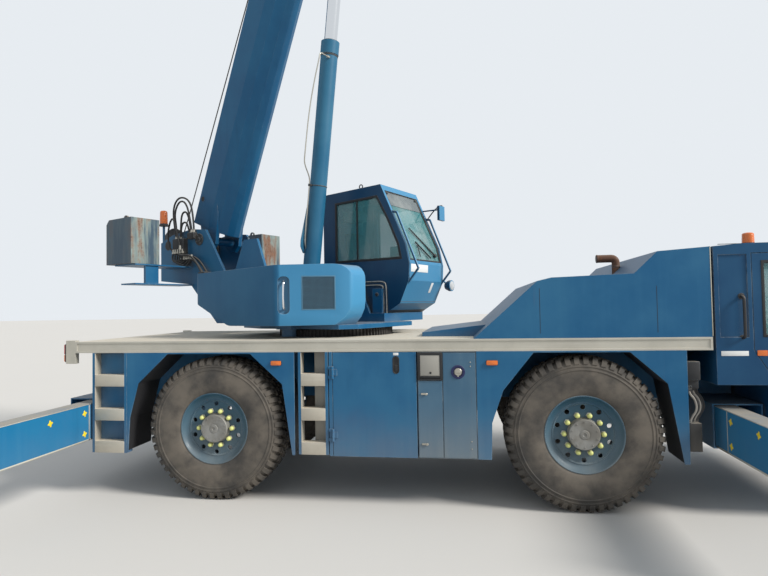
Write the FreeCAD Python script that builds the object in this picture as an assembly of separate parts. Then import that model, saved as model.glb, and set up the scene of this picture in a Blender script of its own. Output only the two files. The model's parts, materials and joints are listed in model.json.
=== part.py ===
"""Two-axle all-terrain mobile crane with a telescopic boom.

Millimetres. X points to the front of the carrier, Y to its left, Z up.
The origin is on the ground under the slewing axis.
The upper works are drawn facing +X, with heights from the top of their base plate, and turned to their
rest angle at the end. The boom is drawn along +X from its foot pin and raised to its rest angle.
"""
import FreeCAD, Part
import math
import os

os.makedirs("parts", exist_ok=True)

# Rest pose
SLEW_REST = 25.0            # boom turned to the right of straight ahead, degrees
LUFF_REST = 68.0            # boom above horizontal, degrees

# Carrier, overall
WHEELBASE = 3690.0
REAR_AXLE_X = -1016.0
FRONT_AXLE_X = REAR_AXLE_X + WHEELBASE
BODY_HALF_W = 1280.0        # outer side panels
RUN_CLEAR = 5.0             # gap between pieces that move past each other
FIT_CLEAR = 0.05            # radial clearance of a pin in its bore
SEAT_CLEAR = 0.3            # gap between curved pieces that sit together

# Chassis
RAIL_OUT_Y = 400.0
RAIL_T = 60.0
RAIL_BOTTOM_Z = 950.0
FRAME_PLATE_T = 30.0
DECK_TOP_Z = 1645.0
DECK_T = 20.0
DECK_REAR_X = REAR_AXLE_X - 1570.0
DECK_FRONT_X = FRONT_AXLE_X - 1010.0
EDGE_FRONT_X = FRONT_AXLE_X + 1135.0
EDGE_H = 100.0
EDGE_W = 60.0
EDGE_GROOVE = 8.0           # depth of the band along the edge beam
EDGE_LIP = 20.0             # lip above and below that band
CORNER_W = 110.0            # lamp posts at the rear corners
CORNER_BOTTOM_Z = DECK_TOP_Z - 235.0
CORNER_TOP_Z = DECK_TOP_Z + 15.0
BEARER_W = 70.0
BEARER_H = 70.0
PEDESTAL_R = 640.0

# Outriggers
BEAM_W = 190.0
BEAM_H = 385.0
BEAM_BOTTOM_Z = 600.0
BEAM_T = 12.0
BOX_WALL = 12.0
REAR_BEAM_X = REAR_AXLE_X - 1390.0      # front face of the rear right beam
FRONT_BEAM_X = FRONT_AXLE_X + 1220.0    # rear face of the front right beam
BOX_END_Y = BODY_HALF_W - 240.0
PAD_LEN = 120.0             # slide pads at the mouths of the boxes
BEAM_TRAVEL = 1650.0
BEAM_STAY = 390.0           # what stays in the box when the beam is out
JACK_HOUSING_R = 85.0
JACK_ROD_R = 55.0
JACK_Y = BOX_END_Y + JACK_HOUSING_R + 25.0 + BEAM_TRAVEL
JACK_TOP_Z = BEAM_BOTTOM_Z + BEAM_H + 95.0
JACK_HOUSING_BOTTOM_Z = BEAM_BOTTOM_Z - 80.0
JACK_ROD_TOP_Z = BEAM_BOTTOM_Z + 90.0
PAD_R = 190.0
PAD_T = 40.0

# Wheels
TYRE_R = 735.0
TYRE_W = 430.0
TYRE_FACE_Y = BODY_HALF_W - 10.0
WHEEL_Y = TYRE_FACE_Y - TYRE_W / 2
WHEEL_SIDES = 36
RIM_BARREL_R = 350.0
RIM_FLANGE_R = 368.0
RIM_W = 390.0
RIM_T = 14.0
HUB_R = 150.0
SPINDLE_R = 60.0
KINGPIN_Y = WHEEL_Y - 135.0
KINGPIN_R = 25.0
KNUCKLE_H = 132.0           # half the height of the fork
BOSS_H = 90.0               # half the height of the axle's boss between its arms
BOSS_R = 50.0
AXLE_TUBE_R = 95.0
DRIVE_R = 205.0
HAND_HOLES = 10
HAND_HOLE_R = 32.0
HAND_HOLE_PCR = 262.0

# Slewing ring and turntable, heights from the ground
RING_R = 690.0
RING_ROOT_R = 668.0
RING_INNER_R = 560.0
RING_BOTTOM_Z = DECK_TOP_Z - 10.0
RING_TOP_Z = RING_BOTTOM_Z + 90.0
RING_TEETH = 96
PLATE_T = 50.0
PLATE_BOTTOM_Z = RING_TOP_Z + 10.0
PLATE_TOP_Z = PLATE_BOTTOM_Z + PLATE_T

# Boom, drawn along X from the foot pin
FOOT_PIN_X = -2100.0
FOOT_PIN_Z = 1165.0
FOOT_PIN_R = 60.0
BOOM_BACK = 386.0           # foot pin to the back of the base section
BOOM_BELLY = -264.0
BOOM_HALF_W = 250.0
BOOM_WALL = 10.0
BOOM_NEST = 24.0            # step from one section's outside to the next one's
BOOM_START = 150.0
INNER_SECTIONS = 3
COLLAR_OUT = 10.0           # collar stands out of the section
COLLAR_LEN = 110.0
BASE_END = 8900.0
SECTION_STEP = 160.0        # how far each inner section's collar stands out
INNER_START = 700.0
SECTION_END = BASE_END + INNER_SECTIONS * SECTION_STEP
HEAD_AXIS_X = SECTION_END + 420.0
HEAD_AXIS_DROP = 420.0
HOOK_DROP = 1430.0          # rope wheels of the hook block below those of the head
SHEAVE_R = 190.0
GROOVE_R = 170.0
SHEAVE_W = 44.0
SHEAVE_Y = 60.0             # each side of the middle
ROPE_R = 8.0
SHEAVE_SIDES = 36
ROPE_SIDES = 6
# The rope's flats stay just clear of the groove, however the wheel has turned
ROPE_REACH = (GROOVE_R + 0.1 + ROPE_R * math.cos(math.pi / ROPE_SIDES)) / math.cos(math.pi / SHEAVE_SIDES)

# Tower plates and the cylinder between them
TOWER_IN_Y = BOOM_HALF_W + 100.0
TOWER_T = 40.0
CYL_BASE_X = -418.0
CYL_BASE_Z = 515.0
CYL_LEAN = 7.27             # from upright, degrees
CYL_PIN_R = 45.0
BARREL_R = 108.0
BARREL_LEN = 3035.0
COLLAR_R = 116.0
LIFT_ROD_R = 82.0
BORE_START = 250.0          # closed end of the barrel's bore
ROD_TRAVEL = 1480.0         # from the photograph's pose down to the level boom
EYE_DROP = 350.0            # rod eye below the belly
EYE_R = 110.0
EYE_HALF_W = 100.0
CHEEK_IN_Y = EYE_HALF_W + 24.0
CHEEK_T = 30.0

V = FreeCAD.Vector
X_AXIS = V(1, 0, 0)
Y_AXIS = V(0, 1, 0)
Z_AXIS = V(0, 0, 1)
ORIGIN = V(0, 0, 0)


def block(x0, x1, y0, y1, z0, z1):
    """Box between two corners."""
    return Part.makeBox(x1 - x0, y1 - y0, z1 - z0, V(x0, y0, z0))


def side_block(x0, x1, side, y_in, y_out, z0, z1):
    """Box on one side of the middle, between two distances from it."""
    y0, y1 = sorted((side * y_in, side * y_out))
    return block(x0, x1, y0, y1, z0, z1)


def rod(centre, axis, radius, length):
    """Cylinder centred on a point."""
    start = V(*centre) - V(axis) * (length / 2)
    return Part.makeCylinder(radius, length, start, axis)


def ring(centre, axis, outer, inner, length):
    """Tube centred on a point."""
    return rod(centre, axis, outer, length).cut(rod(centre, axis, inner, length + 2))


def side_prism(points, y0, y1):
    """Prism of an X-Z outline between two Y values."""
    wire = Part.makePolygon([V(x, y0, z) for x, z in points + points[:1]])
    return Part.Face(wire).extrude(V(0, y1 - y0, 0))


def plan_prism(points, z0, z1):
    """Prism of an X-Y outline between two heights."""
    wire = Part.makePolygon([V(x, y, z0) for x, y in points + points[:1]])
    return Part.Face(wire).extrude(V(0, 0, z1 - z0))


def cross_prism(points, x0, x1):
    """Prism of a Y-Z outline between two X values."""
    wire = Part.makePolygon([V(x0, y, z) for y, z in points + points[:1]])
    return Part.Face(wire).extrude(V(x1 - x0, 0, 0))


def strut(start, end, radius, sides=8):
    """Slender bar of flat facets between two points."""
    first, last = V(*start), V(*end)
    along = (last - first).normalize()
    across = along.cross(Z_AXIS if abs(along.z) < 0.9 else X_AXIS).normalize()
    other = along.cross(across)
    turns = [2 * math.pi * count / sides for count in range(sides)]
    points = [first + across * (radius * math.cos(t)) + other * (radius * math.sin(t)) for t in turns]
    return Part.Face(Part.makePolygon(points + points[:1])).extrude(last - first)


def bent_bar(points, radius, sides=8):
    """Bar of several straight runs."""
    return join([strut(a, b, radius, sides) for a, b in zip(points, points[1:])])


def faceted(profile, centre, axis_dir, sides):
    """Revolve a closed outline of (radius, along) about an axis through a point, in flat facets."""
    def spot(point, count):
        turn = 2 * math.pi * count / sides
        return V(point[1], point[0] * math.cos(turn), point[0] * math.sin(turn))

    faces = []
    for first, last in zip(profile, profile[1:] + profile[:1]):
        if first[0] == 0 and last[0] == 0:
            continue
        for count in range(sides):
            corners = [spot(first, count), spot(last, count), spot(last, count + 1), spot(first, count + 1)]
            loop = [p for i, p in enumerate(corners) if (p - corners[i - 1]).Length > 1e-6]
            faces.append(Part.Face(Part.makePolygon(loop + loop[:1])))
    solid = Part.makeSolid(Part.makeShell(faces))
    if solid.Volume < 0:
        solid.reverse()
    solid.Placement = FreeCAD.Placement(V(*centre), FreeCAD.Rotation(X_AXIS, axis_dir))
    return solid


def inset(points, gap):
    """Outline moved inwards by a gap."""
    face = Part.Face(Part.makePolygon([V(x, 0, z) for x, z in points + points[:1]]))
    inner = face.makeOffset2D(-gap, 2)
    return [(v.Point.x, v.Point.z) for v in inner.Wires[0].OrderedVertexes]


def join(shapes):
    """One solid, or several that stay apart."""
    result = shapes[0]
    if len(shapes) > 1:
        result = shapes[0].fuse(shapes[1:])
    return result.removeSplitter()


def mirror_y(shape):
    """The same piece on the other side."""
    return shape.mirror(ORIGIN, Y_AXIS)


def save(name, shape):
    """Write one piece."""
    shape.exportStep("parts/" + name + ".step")


def to_upper(shape):
    """Set a piece of the upper works on its base plate and turn it to its rest angle."""
    out = shape.copy()
    out.translate(V(0, 0, PLATE_TOP_Z))
    out.rotate(ORIGIN, Z_AXIS, -SLEW_REST)
    return out


def to_boom(shape):
    """Raise a piece drawn along the boom, and turn it with the upper works."""
    out = shape.copy()
    out.translate(V(FOOT_PIN_X, 0, FOOT_PIN_Z))
    out.rotate(V(FOOT_PIN_X, 0, FOOT_PIN_Z), Y_AXIS, -LUFF_REST)
    return to_upper(out)


def to_cylinder(shape):
    """Stand a piece drawn along X from the cylinder's base pin at its rest angle."""
    out = shape.copy()
    out.translate(V(CYL_BASE_X, 0, CYL_BASE_Z))
    out.rotate(V(CYL_BASE_X, 0, CYL_BASE_Z), Y_AXIS, -(90 - CYL_LEAN))
    return to_upper(out)


# Chassis

def outrigger_box(face_x, side):
    """Two tubes side by side across the frame, one for each beam."""
    inner_low = BEAM_BOTTOM_Z - RUN_CLEAR
    inner_high = BEAM_BOTTOM_Z + BEAM_H + RUN_CLEAR
    cell = BEAM_W + 2 * RUN_CLEAR
    first = face_x - side * RUN_CLEAR
    cells = []
    for count in range(2):
        start = first + side * count * (cell + BOX_WALL)
        cells.append(sorted((start, start + side * cell)))
    low = min(c[0] for c in cells) - BOX_WALL
    high = max(c[1] for c in cells) + BOX_WALL
    box = block(low, high, -BOX_END_Y, BOX_END_Y, inner_low - BOX_WALL, inner_high + BOX_WALL)
    pads = []
    for x0, x1 in cells:
        box = box.cut(block(x0, x1, -BOX_END_Y - 1, BOX_END_Y + 1, inner_low, inner_high))
        for y in (-BOX_END_Y, BOX_END_Y - PAD_LEN):
            pads.append(block(x0, x1, y, y + PAD_LEN, inner_low, BEAM_BOTTOM_Z - SEAT_CLEAR))
    return join([box] + pads), low, high


REAR_BOX, _, REAR_BOX_HIGH = outrigger_box(REAR_BEAM_X, -1)
FRONT_BOX, FRONT_BOX_LOW, FRONT_BOX_HIGH = outrigger_box(FRONT_BEAM_X, 1)
BOX_TOP_Z = BEAM_BOTTOM_Z + BEAM_H + RUN_CLEAR + BOX_WALL
BOX_BOTTOM_Z = BEAM_BOTTOM_Z - RUN_CLEAR - BOX_WALL
DECK_UNDER_Z = DECK_TOP_Z - DECK_T
EDGE_UNDER_Z = DECK_UNDER_Z - EDGE_H
CAB_REAR_X = FRONT_AXLE_X + 1160.0
CAB_FRONT_X = CAB_REAR_X + 1550.0
CAB_STEP_X = CAB_REAR_X + 500.0
CAB_FLOOR_Z = 1210.0
CAB_BOTTOM_Z = 750.0
CAB_WALL = 40.0
ENGINE_BAY_X = FRONT_AXLE_X - 974.0

# Cross bearers under the deck
BEARER_X = (DECK_REAR_X + 106, REAR_AXLE_X - 774, REAR_AXLE_X, REAR_AXLE_X + 956, REAR_AXLE_X + 1716,
            FRONT_AXLE_X - 1054, FRONT_AXLE_X, FRONT_AXLE_X + 886)


def chassis_frame():
    """Two deep rails with plates between them, outrigger boxes and bearers."""
    rail_in = RAIL_OUT_Y - RAIL_T
    parts = [REAR_BOX, FRONT_BOX]
    # Rails: columns are rear x, front x, bottom, top
    runs = (
        (REAR_BOX_HIGH, FRONT_BOX_LOW, RAIL_BOTTOM_Z, CAB_FLOOR_Z),
        (DECK_REAR_X, CAB_REAR_X, BOX_TOP_Z, DECK_UNDER_Z),
        (CAB_REAR_X, FRONT_BOX_HIGH, BOX_TOP_Z, CAB_FLOOR_Z),
        (FRONT_BOX_HIGH, CAB_FRONT_X - 120, BOX_BOTTOM_Z, CAB_BOTTOM_Z),
    )
    for side in (-1, 1):
        parts += [side_block(x0, x1, side, rail_in, RAIL_OUT_Y, z0, z1) for x0, x1, z0, z1 in runs]
        for x in BEARER_X:
            parts.append(side_block(x - BEARER_W / 2, x + BEARER_W / 2, side, RAIL_OUT_Y,
                                    BODY_HALF_W - EDGE_W, DECK_UNDER_Z - BEARER_H, DECK_UNDER_Z))
    # Plates between the rails: columns are rear x, front x, bottom, top
    plates = (
        (REAR_BOX_HIGH, ENGINE_BAY_X, RAIL_BOTTOM_Z, RAIL_BOTTOM_Z + FRAME_PLATE_T),
        (DECK_REAR_X, ENGINE_BAY_X, DECK_UNDER_Z - FRAME_PLATE_T, DECK_UNDER_Z),
        (DECK_REAR_X, DECK_REAR_X + FRAME_PLATE_T, BOX_TOP_Z, DECK_UNDER_Z),
        (ENGINE_BAY_X - FRAME_PLATE_T, ENGINE_BAY_X, RAIL_BOTTOM_Z, DECK_UNDER_Z),
        (FRONT_BOX_LOW - 2 * FRAME_PLATE_T, FRONT_BOX_LOW, RAIL_BOTTOM_Z, CAB_FLOOR_Z),
    )
    parts += [block(x0, x1, -RAIL_OUT_Y, RAIL_OUT_Y, z0, z1) for x0, x1, z0, z1 in plates]
    pedestal = ring((0, 0, (DECK_UNDER_Z + RING_BOTTOM_Z) / 2), Z_AXIS, PEDESTAL_R,
                    RING_INNER_R - 60, RING_BOTTOM_Z - DECK_UNDER_Z)
    return join(parts + [pedestal])


def deck():
    """Deck plate with a deep grooved beam along each side and lamp posts at the rear corners."""
    plate = block(DECK_REAR_X, DECK_FRONT_X, -BODY_HALF_W, BODY_HALF_W, DECK_UNDER_Z, DECK_TOP_Z)
    parts = [plate.cut(rod((0, 0, DECK_TOP_Z), Z_AXIS, RING_R + 15, 200))]
    grooves = []
    inner = BODY_HALF_W - EDGE_W
    for side in (-1, 1):
        parts.append(side_block(DECK_REAR_X, EDGE_FRONT_X, side, inner, BODY_HALF_W,
                                EDGE_UNDER_Z, DECK_TOP_Z))
        parts.append(side_block(DECK_REAR_X - CORNER_W, DECK_REAR_X, side, inner, BODY_HALF_W,
                                CORNER_BOTTOM_Z, CORNER_TOP_Z))
        grooves.append(side_block(DECK_REAR_X + EDGE_LIP, EDGE_FRONT_X - EDGE_LIP, side,
                                  BODY_HALF_W - EDGE_GROOVE, BODY_HALF_W + 1,
                                  EDGE_UNDER_Z + EDGE_LIP, DECK_TOP_Z - EDGE_LIP))
    return join(parts).cut(grooves)


# Arch outlines from the axle: columns are along the carrier, height below the deck's edge beam
REAR_ARCH = [(-950, -1025), (-930, -685), (-835, -325), (-500, -15), (410, -15), (750, -325), (850, -1025)]
FRONT_ARCH = [(-860, -1025), (-850, -685), (-740, -375), (-450, -15), (420, -15), (740, -305), (860, -1025)]
ARCH_T = 15.0
ARCH_IN_Y = BODY_HALF_W - 430.0
PANEL_T = 8.0
PANEL_BOTTOM_Z = 490.0
PANEL_EDGE = 20.0           # narrowest strip of panel beside an arch


def arch_strip(outline, axle_x):
    """Bent mudguard strip over one wheel."""
    def offset(grow):
        top = max(z for _, z in outline)
        return [(axle_x + x + math.copysign(grow, x), EDGE_UNDER_Z + z + (grow if z == top else 0))
                for x, z in outline]
    return side_prism(offset(ARCH_T) + offset(0)[::-1], -BODY_HALF_W + PANEL_T, -ARCH_IN_Y)


def fenders():
    """Mudguards over the four wheels."""
    strips = []
    for outline, axle_x in ((REAR_ARCH, REAR_AXLE_X), (FRONT_ARCH, FRONT_AXLE_X)):
        strip = arch_strip(outline, axle_x)
        strips += [strip, mirror_y(strip)]
    return Part.Compound(strips)


# Ladders: columns are rear x, front x, step heights from the ground
LADDERS = (
    (DECK_REAR_X + 205, DECK_REAR_X + 604, (470.0, 810.0, 1170.0)),
    (REAR_AXLE_X + 920, REAR_AXLE_X + 1230, (500.0, 840.0, 1185.0)),
)
STEP_H = 120.0
LADDER_DEPTH = 100.0
POST_W = 30.0


def side_panels():
    """Skins in the body's side planes, cut to the wheel arches."""
    front_arch_end = FRONT_AXLE_X + FRONT_ARCH[-1][0]
    # Panels: columns are arch, axle, rear x, front x
    table = (
        (REAR_ARCH, REAR_AXLE_X, LADDERS[0][1] + 1, LADDERS[1][0] - 2 * PANEL_EDGE),
        (FRONT_ARCH, FRONT_AXLE_X, SERVICE_X1 + 1, front_arch_end + 50),
    )
    skins = []
    for arch, axle_x, x0, x1 in table:
        sheet = block(x0, x1, -BODY_HALF_W, -BODY_HALF_W + PANEL_T, PANEL_BOTTOM_Z, EDGE_UNDER_Z)
        gap = [(axle_x + x, EDGE_UNDER_Z + z) for x, z in arch]
        gap = [(gap[0][0], PANEL_BOTTOM_Z - 1)] + gap + [(gap[-1][0], PANEL_BOTTOM_Z - 1)]
        skin = sheet.cut(side_prism(gap, -BODY_HALF_W - 1, -BODY_HALF_W + PANEL_T + 1))
        skins += [skin, mirror_y(skin)]
    return Part.Compound(skins)


def access_ladders():
    """Two ladders a side, of posts and boxed steps."""
    out = []
    for x0, x1, steps in LADDERS:
        y0, y1 = -BODY_HALF_W, -BODY_HALF_W + LADDER_DEPTH
        pieces = [block(px, px + POST_W, y0, y1, steps[0], EDGE_UNDER_Z) for px in (x0, x1 - POST_W)]
        pieces += [block(x0, x1, y0, y1, z, z + STEP_H) for z in steps]
        ladder = join(pieces)
        out += [ladder, mirror_y(ladder)]
    return Part.Compound(out)


HINGE_R = 13.0
HINGE_PIN_R = 7.0
HINGE_H = 60.0
LEAF_W = 45.0
LEAF_T = 8.0


def hinge(axis_x, face_y, door_dir, heights):
    """Door half and frame half of upright hinges on a face that looks to -Y."""
    axis_y = face_y - HINGE_R
    door, frame = [], []

    def half(z, height, toward):
        x0, x1 = sorted((axis_x, axis_x + toward * LEAF_W))
        leaf = block(x0, x1, face_y - LEAF_T, face_y, z - height / 2, z + height / 2)
        return leaf.fuse(rod((axis_x, axis_y, z), Z_AXIS, HINGE_R, height))

    for z in heights:
        bore = rod((axis_x, axis_y, z), Z_AXIS, HINGE_PIN_R + FIT_CLEAR, HINGE_H + 2)
        door.append(half(z, HINGE_H, door_dir).cut(bore))
        frame.append(rod((axis_x, axis_y, z), Z_AXIS, HINGE_PIN_R, 2 * HINGE_H))
        for side in (-1, 1):
            frame.append(half(z + side * (HINGE_H * 0.75 + 1), HINGE_H / 2, -door_dir))
    return door, frame


# Locker and service unit between the second ladder and the front wheel
SERVICE_X1 = FRONT_AXLE_X - 990.0
SERVICE_X0 = SERVICE_X1 - 570.0
LOCKER_X0 = LADDERS[1][1] + 10.0
LOCKER_X1 = SERVICE_X0 - 10.0
LOCKER_BOTTOM_Z = PANEL_BOTTOM_Z
LOCKER_IN_Y = BODY_HALF_W - 420.0
LOCKER_WALL = 15.0
DOOR_T = 25.0
JAMB_W = 35.0
LATCH_W = 60.0
LATCH_H = 170.0
LATCH_DEPTH = 12.0
LOCKER_FACE_Y = BODY_HALF_W - DOOR_T - RUN_CLEAR
LOCKER_HINGE = hinge(LOCKER_X0 + JAMB_W + RUN_CLEAR, -BODY_HALF_W, 1,
                     (LOCKER_BOTTOM_Z + 210, EDGE_UNDER_Z - 205))


def locker():
    """Open-fronted tool locker hung under the right edge of the deck."""
    box = block(LOCKER_X0, LOCKER_X1, -LOCKER_FACE_Y, -LOCKER_IN_Y, LOCKER_BOTTOM_Z, EDGE_UNDER_Z)
    hollow = block(LOCKER_X0 + LOCKER_WALL, LOCKER_X1 - LOCKER_WALL, -LOCKER_FACE_Y - 1,
                   -LOCKER_IN_Y - LOCKER_WALL, LOCKER_BOTTOM_Z + LOCKER_WALL, EDGE_UNDER_Z - LOCKER_WALL)
    jamb = block(LOCKER_X0, LOCKER_X0 + JAMB_W, -BODY_HALF_W, -LOCKER_FACE_Y, LOCKER_BOTTOM_Z, EDGE_UNDER_Z)
    return join([box.cut(hollow), jamb] + LOCKER_HINGE[1])


def slot_prism(x, z, width, height, y0, y1):
    """Upright slot with round ends, in eight flats."""
    half = width / 2
    points = []
    for count in range(8):
        turn = math.pi * (count + 0.5) / 4
        rise = math.copysign(height / 2 - half, math.sin(turn))
        points.append((x + half * math.cos(turn), z + rise + half * math.sin(turn)))
    return side_prism(points, y0, y1)


def locker_door():
    """Locker door, hung at its rear edge, with a round-ended latch recess."""
    panel = block(LOCKER_X0 + JAMB_W + RUN_CLEAR, LOCKER_X1, -BODY_HALF_W, -BODY_HALF_W + DOOR_T,
                  LOCKER_BOTTOM_Z, EDGE_UNDER_Z - RUN_CLEAR)
    latch = slot_prism(LOCKER_X1 - 200, EDGE_UNDER_Z - 130, LATCH_W, LATCH_H,
                       -BODY_HALF_W - 1, -BODY_HALF_W + LATCH_DEPTH)
    return join([panel.cut(latch)] + LOCKER_HINGE[0])


FILLER_R = 58.0
FILLER_DEPTH = 8.0


def service_box():
    """Closed unit ahead of the locker: lidded box, panel below it and a door with its filler cap."""
    split = SERVICE_X0 + 250
    lid_z = EDGE_UNDER_Z - 275
    y0, y1 = -BODY_HALF_W, -BODY_HALF_W + 20
    parts = [block(SERVICE_X0, SERVICE_X1, y0 + 10, -LOCKER_IN_Y, LOCKER_BOTTOM_Z, EDGE_UNDER_Z)]
    # Fronts: columns are rear x, front x, bottom, top
    fronts = (
        (SERVICE_X0 + 8, split - 10, lid_z, EDGE_UNDER_Z - 15),
        (SERVICE_X0 + 8, split - 10, LOCKER_BOTTOM_Z + 10, lid_z - 10),
        (split, SERVICE_X1 - 8, LOCKER_BOTTOM_Z + 10, EDGE_UNDER_Z - 15),
    )
    parts += [block(x0, x1, y0, y1, z0, z1) for x0, x1, z0, z1 in fronts]
    x, z = split + 145, lid_z + 76
    return join(parts).cut(strut((x, y0 - 1, z), (x, y0 + FILLER_DEPTH, z), FILLER_R, 16))


def side_tank_left():
    """Fuel tank and battery box under the left edge of the deck."""
    y0, y1 = LOCKER_IN_Y, BODY_HALF_W - 20
    z0, z1 = LOCKER_BOTTOM_Z + 110, EDGE_UNDER_Z
    cut = 60.0
    outline = [(y0, z0 + cut), (y0, z1), (y1, z1), (y1, z0 + cut), (y1 - cut / 3, z0 + cut / 3),
               (y1 - cut, z0), (y0 + cut, z0), (y0 + cut / 3, z0 + cut / 3)]
    tank = cross_prism(outline, LOCKER_X0, SERVICE_X0 + 90)
    battery = block(SERVICE_X0 + 120, SERVICE_X1 - 44, y0, BODY_HALF_W, LOCKER_BOTTOM_Z, EDGE_UNDER_Z)
    return Part.Compound([tank, battery])


# Engine cover, seen from the side: columns are x from the front axle, z above the deck
HOOD_SIDE = [(-1010, 0), (-400, 545), (-270, 575), (475, 595), (685, 795), (1140, 825), (1140, 0)]
HOOD_T = 25.0
RAMP_SHARE = 0.55           # how much of the way back to the ring the low cover takes
RAMP_X = DECK_FRONT_X - RAMP_SHARE * (DECK_FRONT_X - RING_R)
RAMP_H = 45.0
RAMP_HALF_W = BODY_HALF_W - 480.0
ENGINE_X0 = FRONT_AXLE_X - 374.0
ENGINE_X1 = FRONT_AXLE_X + 826.0
ENGINE_BOTTOM_Z = RAIL_BOTTOM_Z + 200.0
ENGINE_TOP_Z = DECK_TOP_Z + 415.0
EXHAUST_X = FRONT_AXLE_X + 561.0
EXHAUST_Y = -280.0
EXHAUST_R = 45.0
EXHAUST_TOP_Z = DECK_TOP_Z + 815.0
EXHAUST_REACH = 205.0       # from the upright pipe to its open end
HOOD_POINTS = [(FRONT_AXLE_X + x, DECK_TOP_Z + z) for x, z in HOOD_SIDE]


def engine_hood():
    """Folded cover over the engine, open below, with a low ramp behind it."""
    outer = side_prism(HOOD_POINTS, -BODY_HALF_W, BODY_HALF_W)
    inner = side_prism(inset(HOOD_POINTS, HOOD_T), -BODY_HALF_W + HOOD_T, BODY_HALF_W - HOOD_T)
    x0, x1 = HOOD_POINTS[0][0], HOOD_POINTS[-1][0]
    below = block(x0 + 80, x1 - HOOD_T, -BODY_HALF_W + HOOD_T, BODY_HALF_W - HOOD_T,
                  DECK_TOP_Z - 10, DECK_TOP_Z + 2 * HOOD_T)
    outlet = rod((EXHAUST_X, EXHAUST_Y, EXHAUST_TOP_Z), Z_AXIS, EXHAUST_R + RUN_CLEAR, 800)
    rise = 120.0
    slope = (HOOD_POINTS[1][0] - x0) / (HOOD_POINTS[1][1] - DECK_TOP_Z)
    ramp = side_prism([(RAMP_X, DECK_TOP_Z), (RAMP_X, DECK_TOP_Z + RAMP_H),
                       (x0 + rise * slope, DECK_TOP_Z + rise), (x0, DECK_TOP_Z)], -RAMP_HALF_W, RAMP_HALF_W)
    return join([outer.cut(inner).cut(below), ramp]).cut(outlet)


def exhaust():
    """Pipe from the engine through the cover, with a mitred elbow to the rear."""
    bend = 2 * EXHAUST_R
    base = (EXHAUST_X, EXHAUST_Y, ENGINE_TOP_Z)
    low = (EXHAUST_X, EXHAUST_Y, EXHAUST_TOP_Z - bend)
    turn = (EXHAUST_X - bend * 0.3, EXHAUST_Y, EXHAUST_TOP_Z - bend * 0.3)
    top = (EXHAUST_X - bend, EXHAUST_Y, EXHAUST_TOP_Z)
    end = (EXHAUST_X - EXHAUST_REACH, EXHAUST_Y, EXHAUST_TOP_Z)
    pipe = bent_bar([base, low, turn, top, end], EXHAUST_R, 12)
    return pipe.cut(strut((end[0] - 1, EXHAUST_Y, EXHAUST_TOP_Z), top, EXHAUST_R - 5, 12))


def engine_block():
    """Engine, one plain mass between the rails."""
    half = RAIL_OUT_Y - RAIL_T
    return block(ENGINE_X0, ENGINE_X1, -half, half, ENGINE_BOTTOM_Z, ENGINE_TOP_Z)


# Driver's cab, seen from the side: columns are x from the cab's rear wall, z above the floor
CAB_ROOF = [(0, 1260), (266, 1280), (1206, 1280), (1346, 1230), (1550, 350)]
CAB_ROOF_INNER = [(40, 1222), (270, 1240), (1192, 1240), (1312, 1200), (1508, 346)]
CAB_DOOR_SIDE = [(316, 310), (316, 1190), (1166, 1190), (1226, 1130), (1396, 350), (1396, -380), (586, -380),
                 (566, -30), (466, 60)]
CAB_WINDOW_SIDE = [(396, 430), (396, 1120), (1151, 1120), (1186, 1080), (1316, 430)]
CAB_GLASS_T = 6.0
WINDSCREEN_HALF_W = BODY_HALF_W - 150.0
SCREEN_LOW = (CAB_FRONT_X, CAB_FLOOR_Z + 410.0)
SCREEN_HIGH = (CAB_FRONT_X - 189.0, CAB_FLOOR_Z + 1165.0)
CAB_HINGE = hinge(CAB_FRONT_X - 159.0, -BODY_HALF_W, -1, (CAB_FLOOR_Z - 230, CAB_FLOOR_Z + 270))
CAB_FIELD_DEPTH = 10.0
SEAT_Y = BODY_HALF_W - 660.0


def cab_points(table):
    """Outline of the driver's cab from a table."""
    return [(CAB_REAR_X + x, CAB_FLOOR_Z + z) for x, z in table]


CAB_DOOR = cab_points(CAB_DOOR_SIDE)


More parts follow.
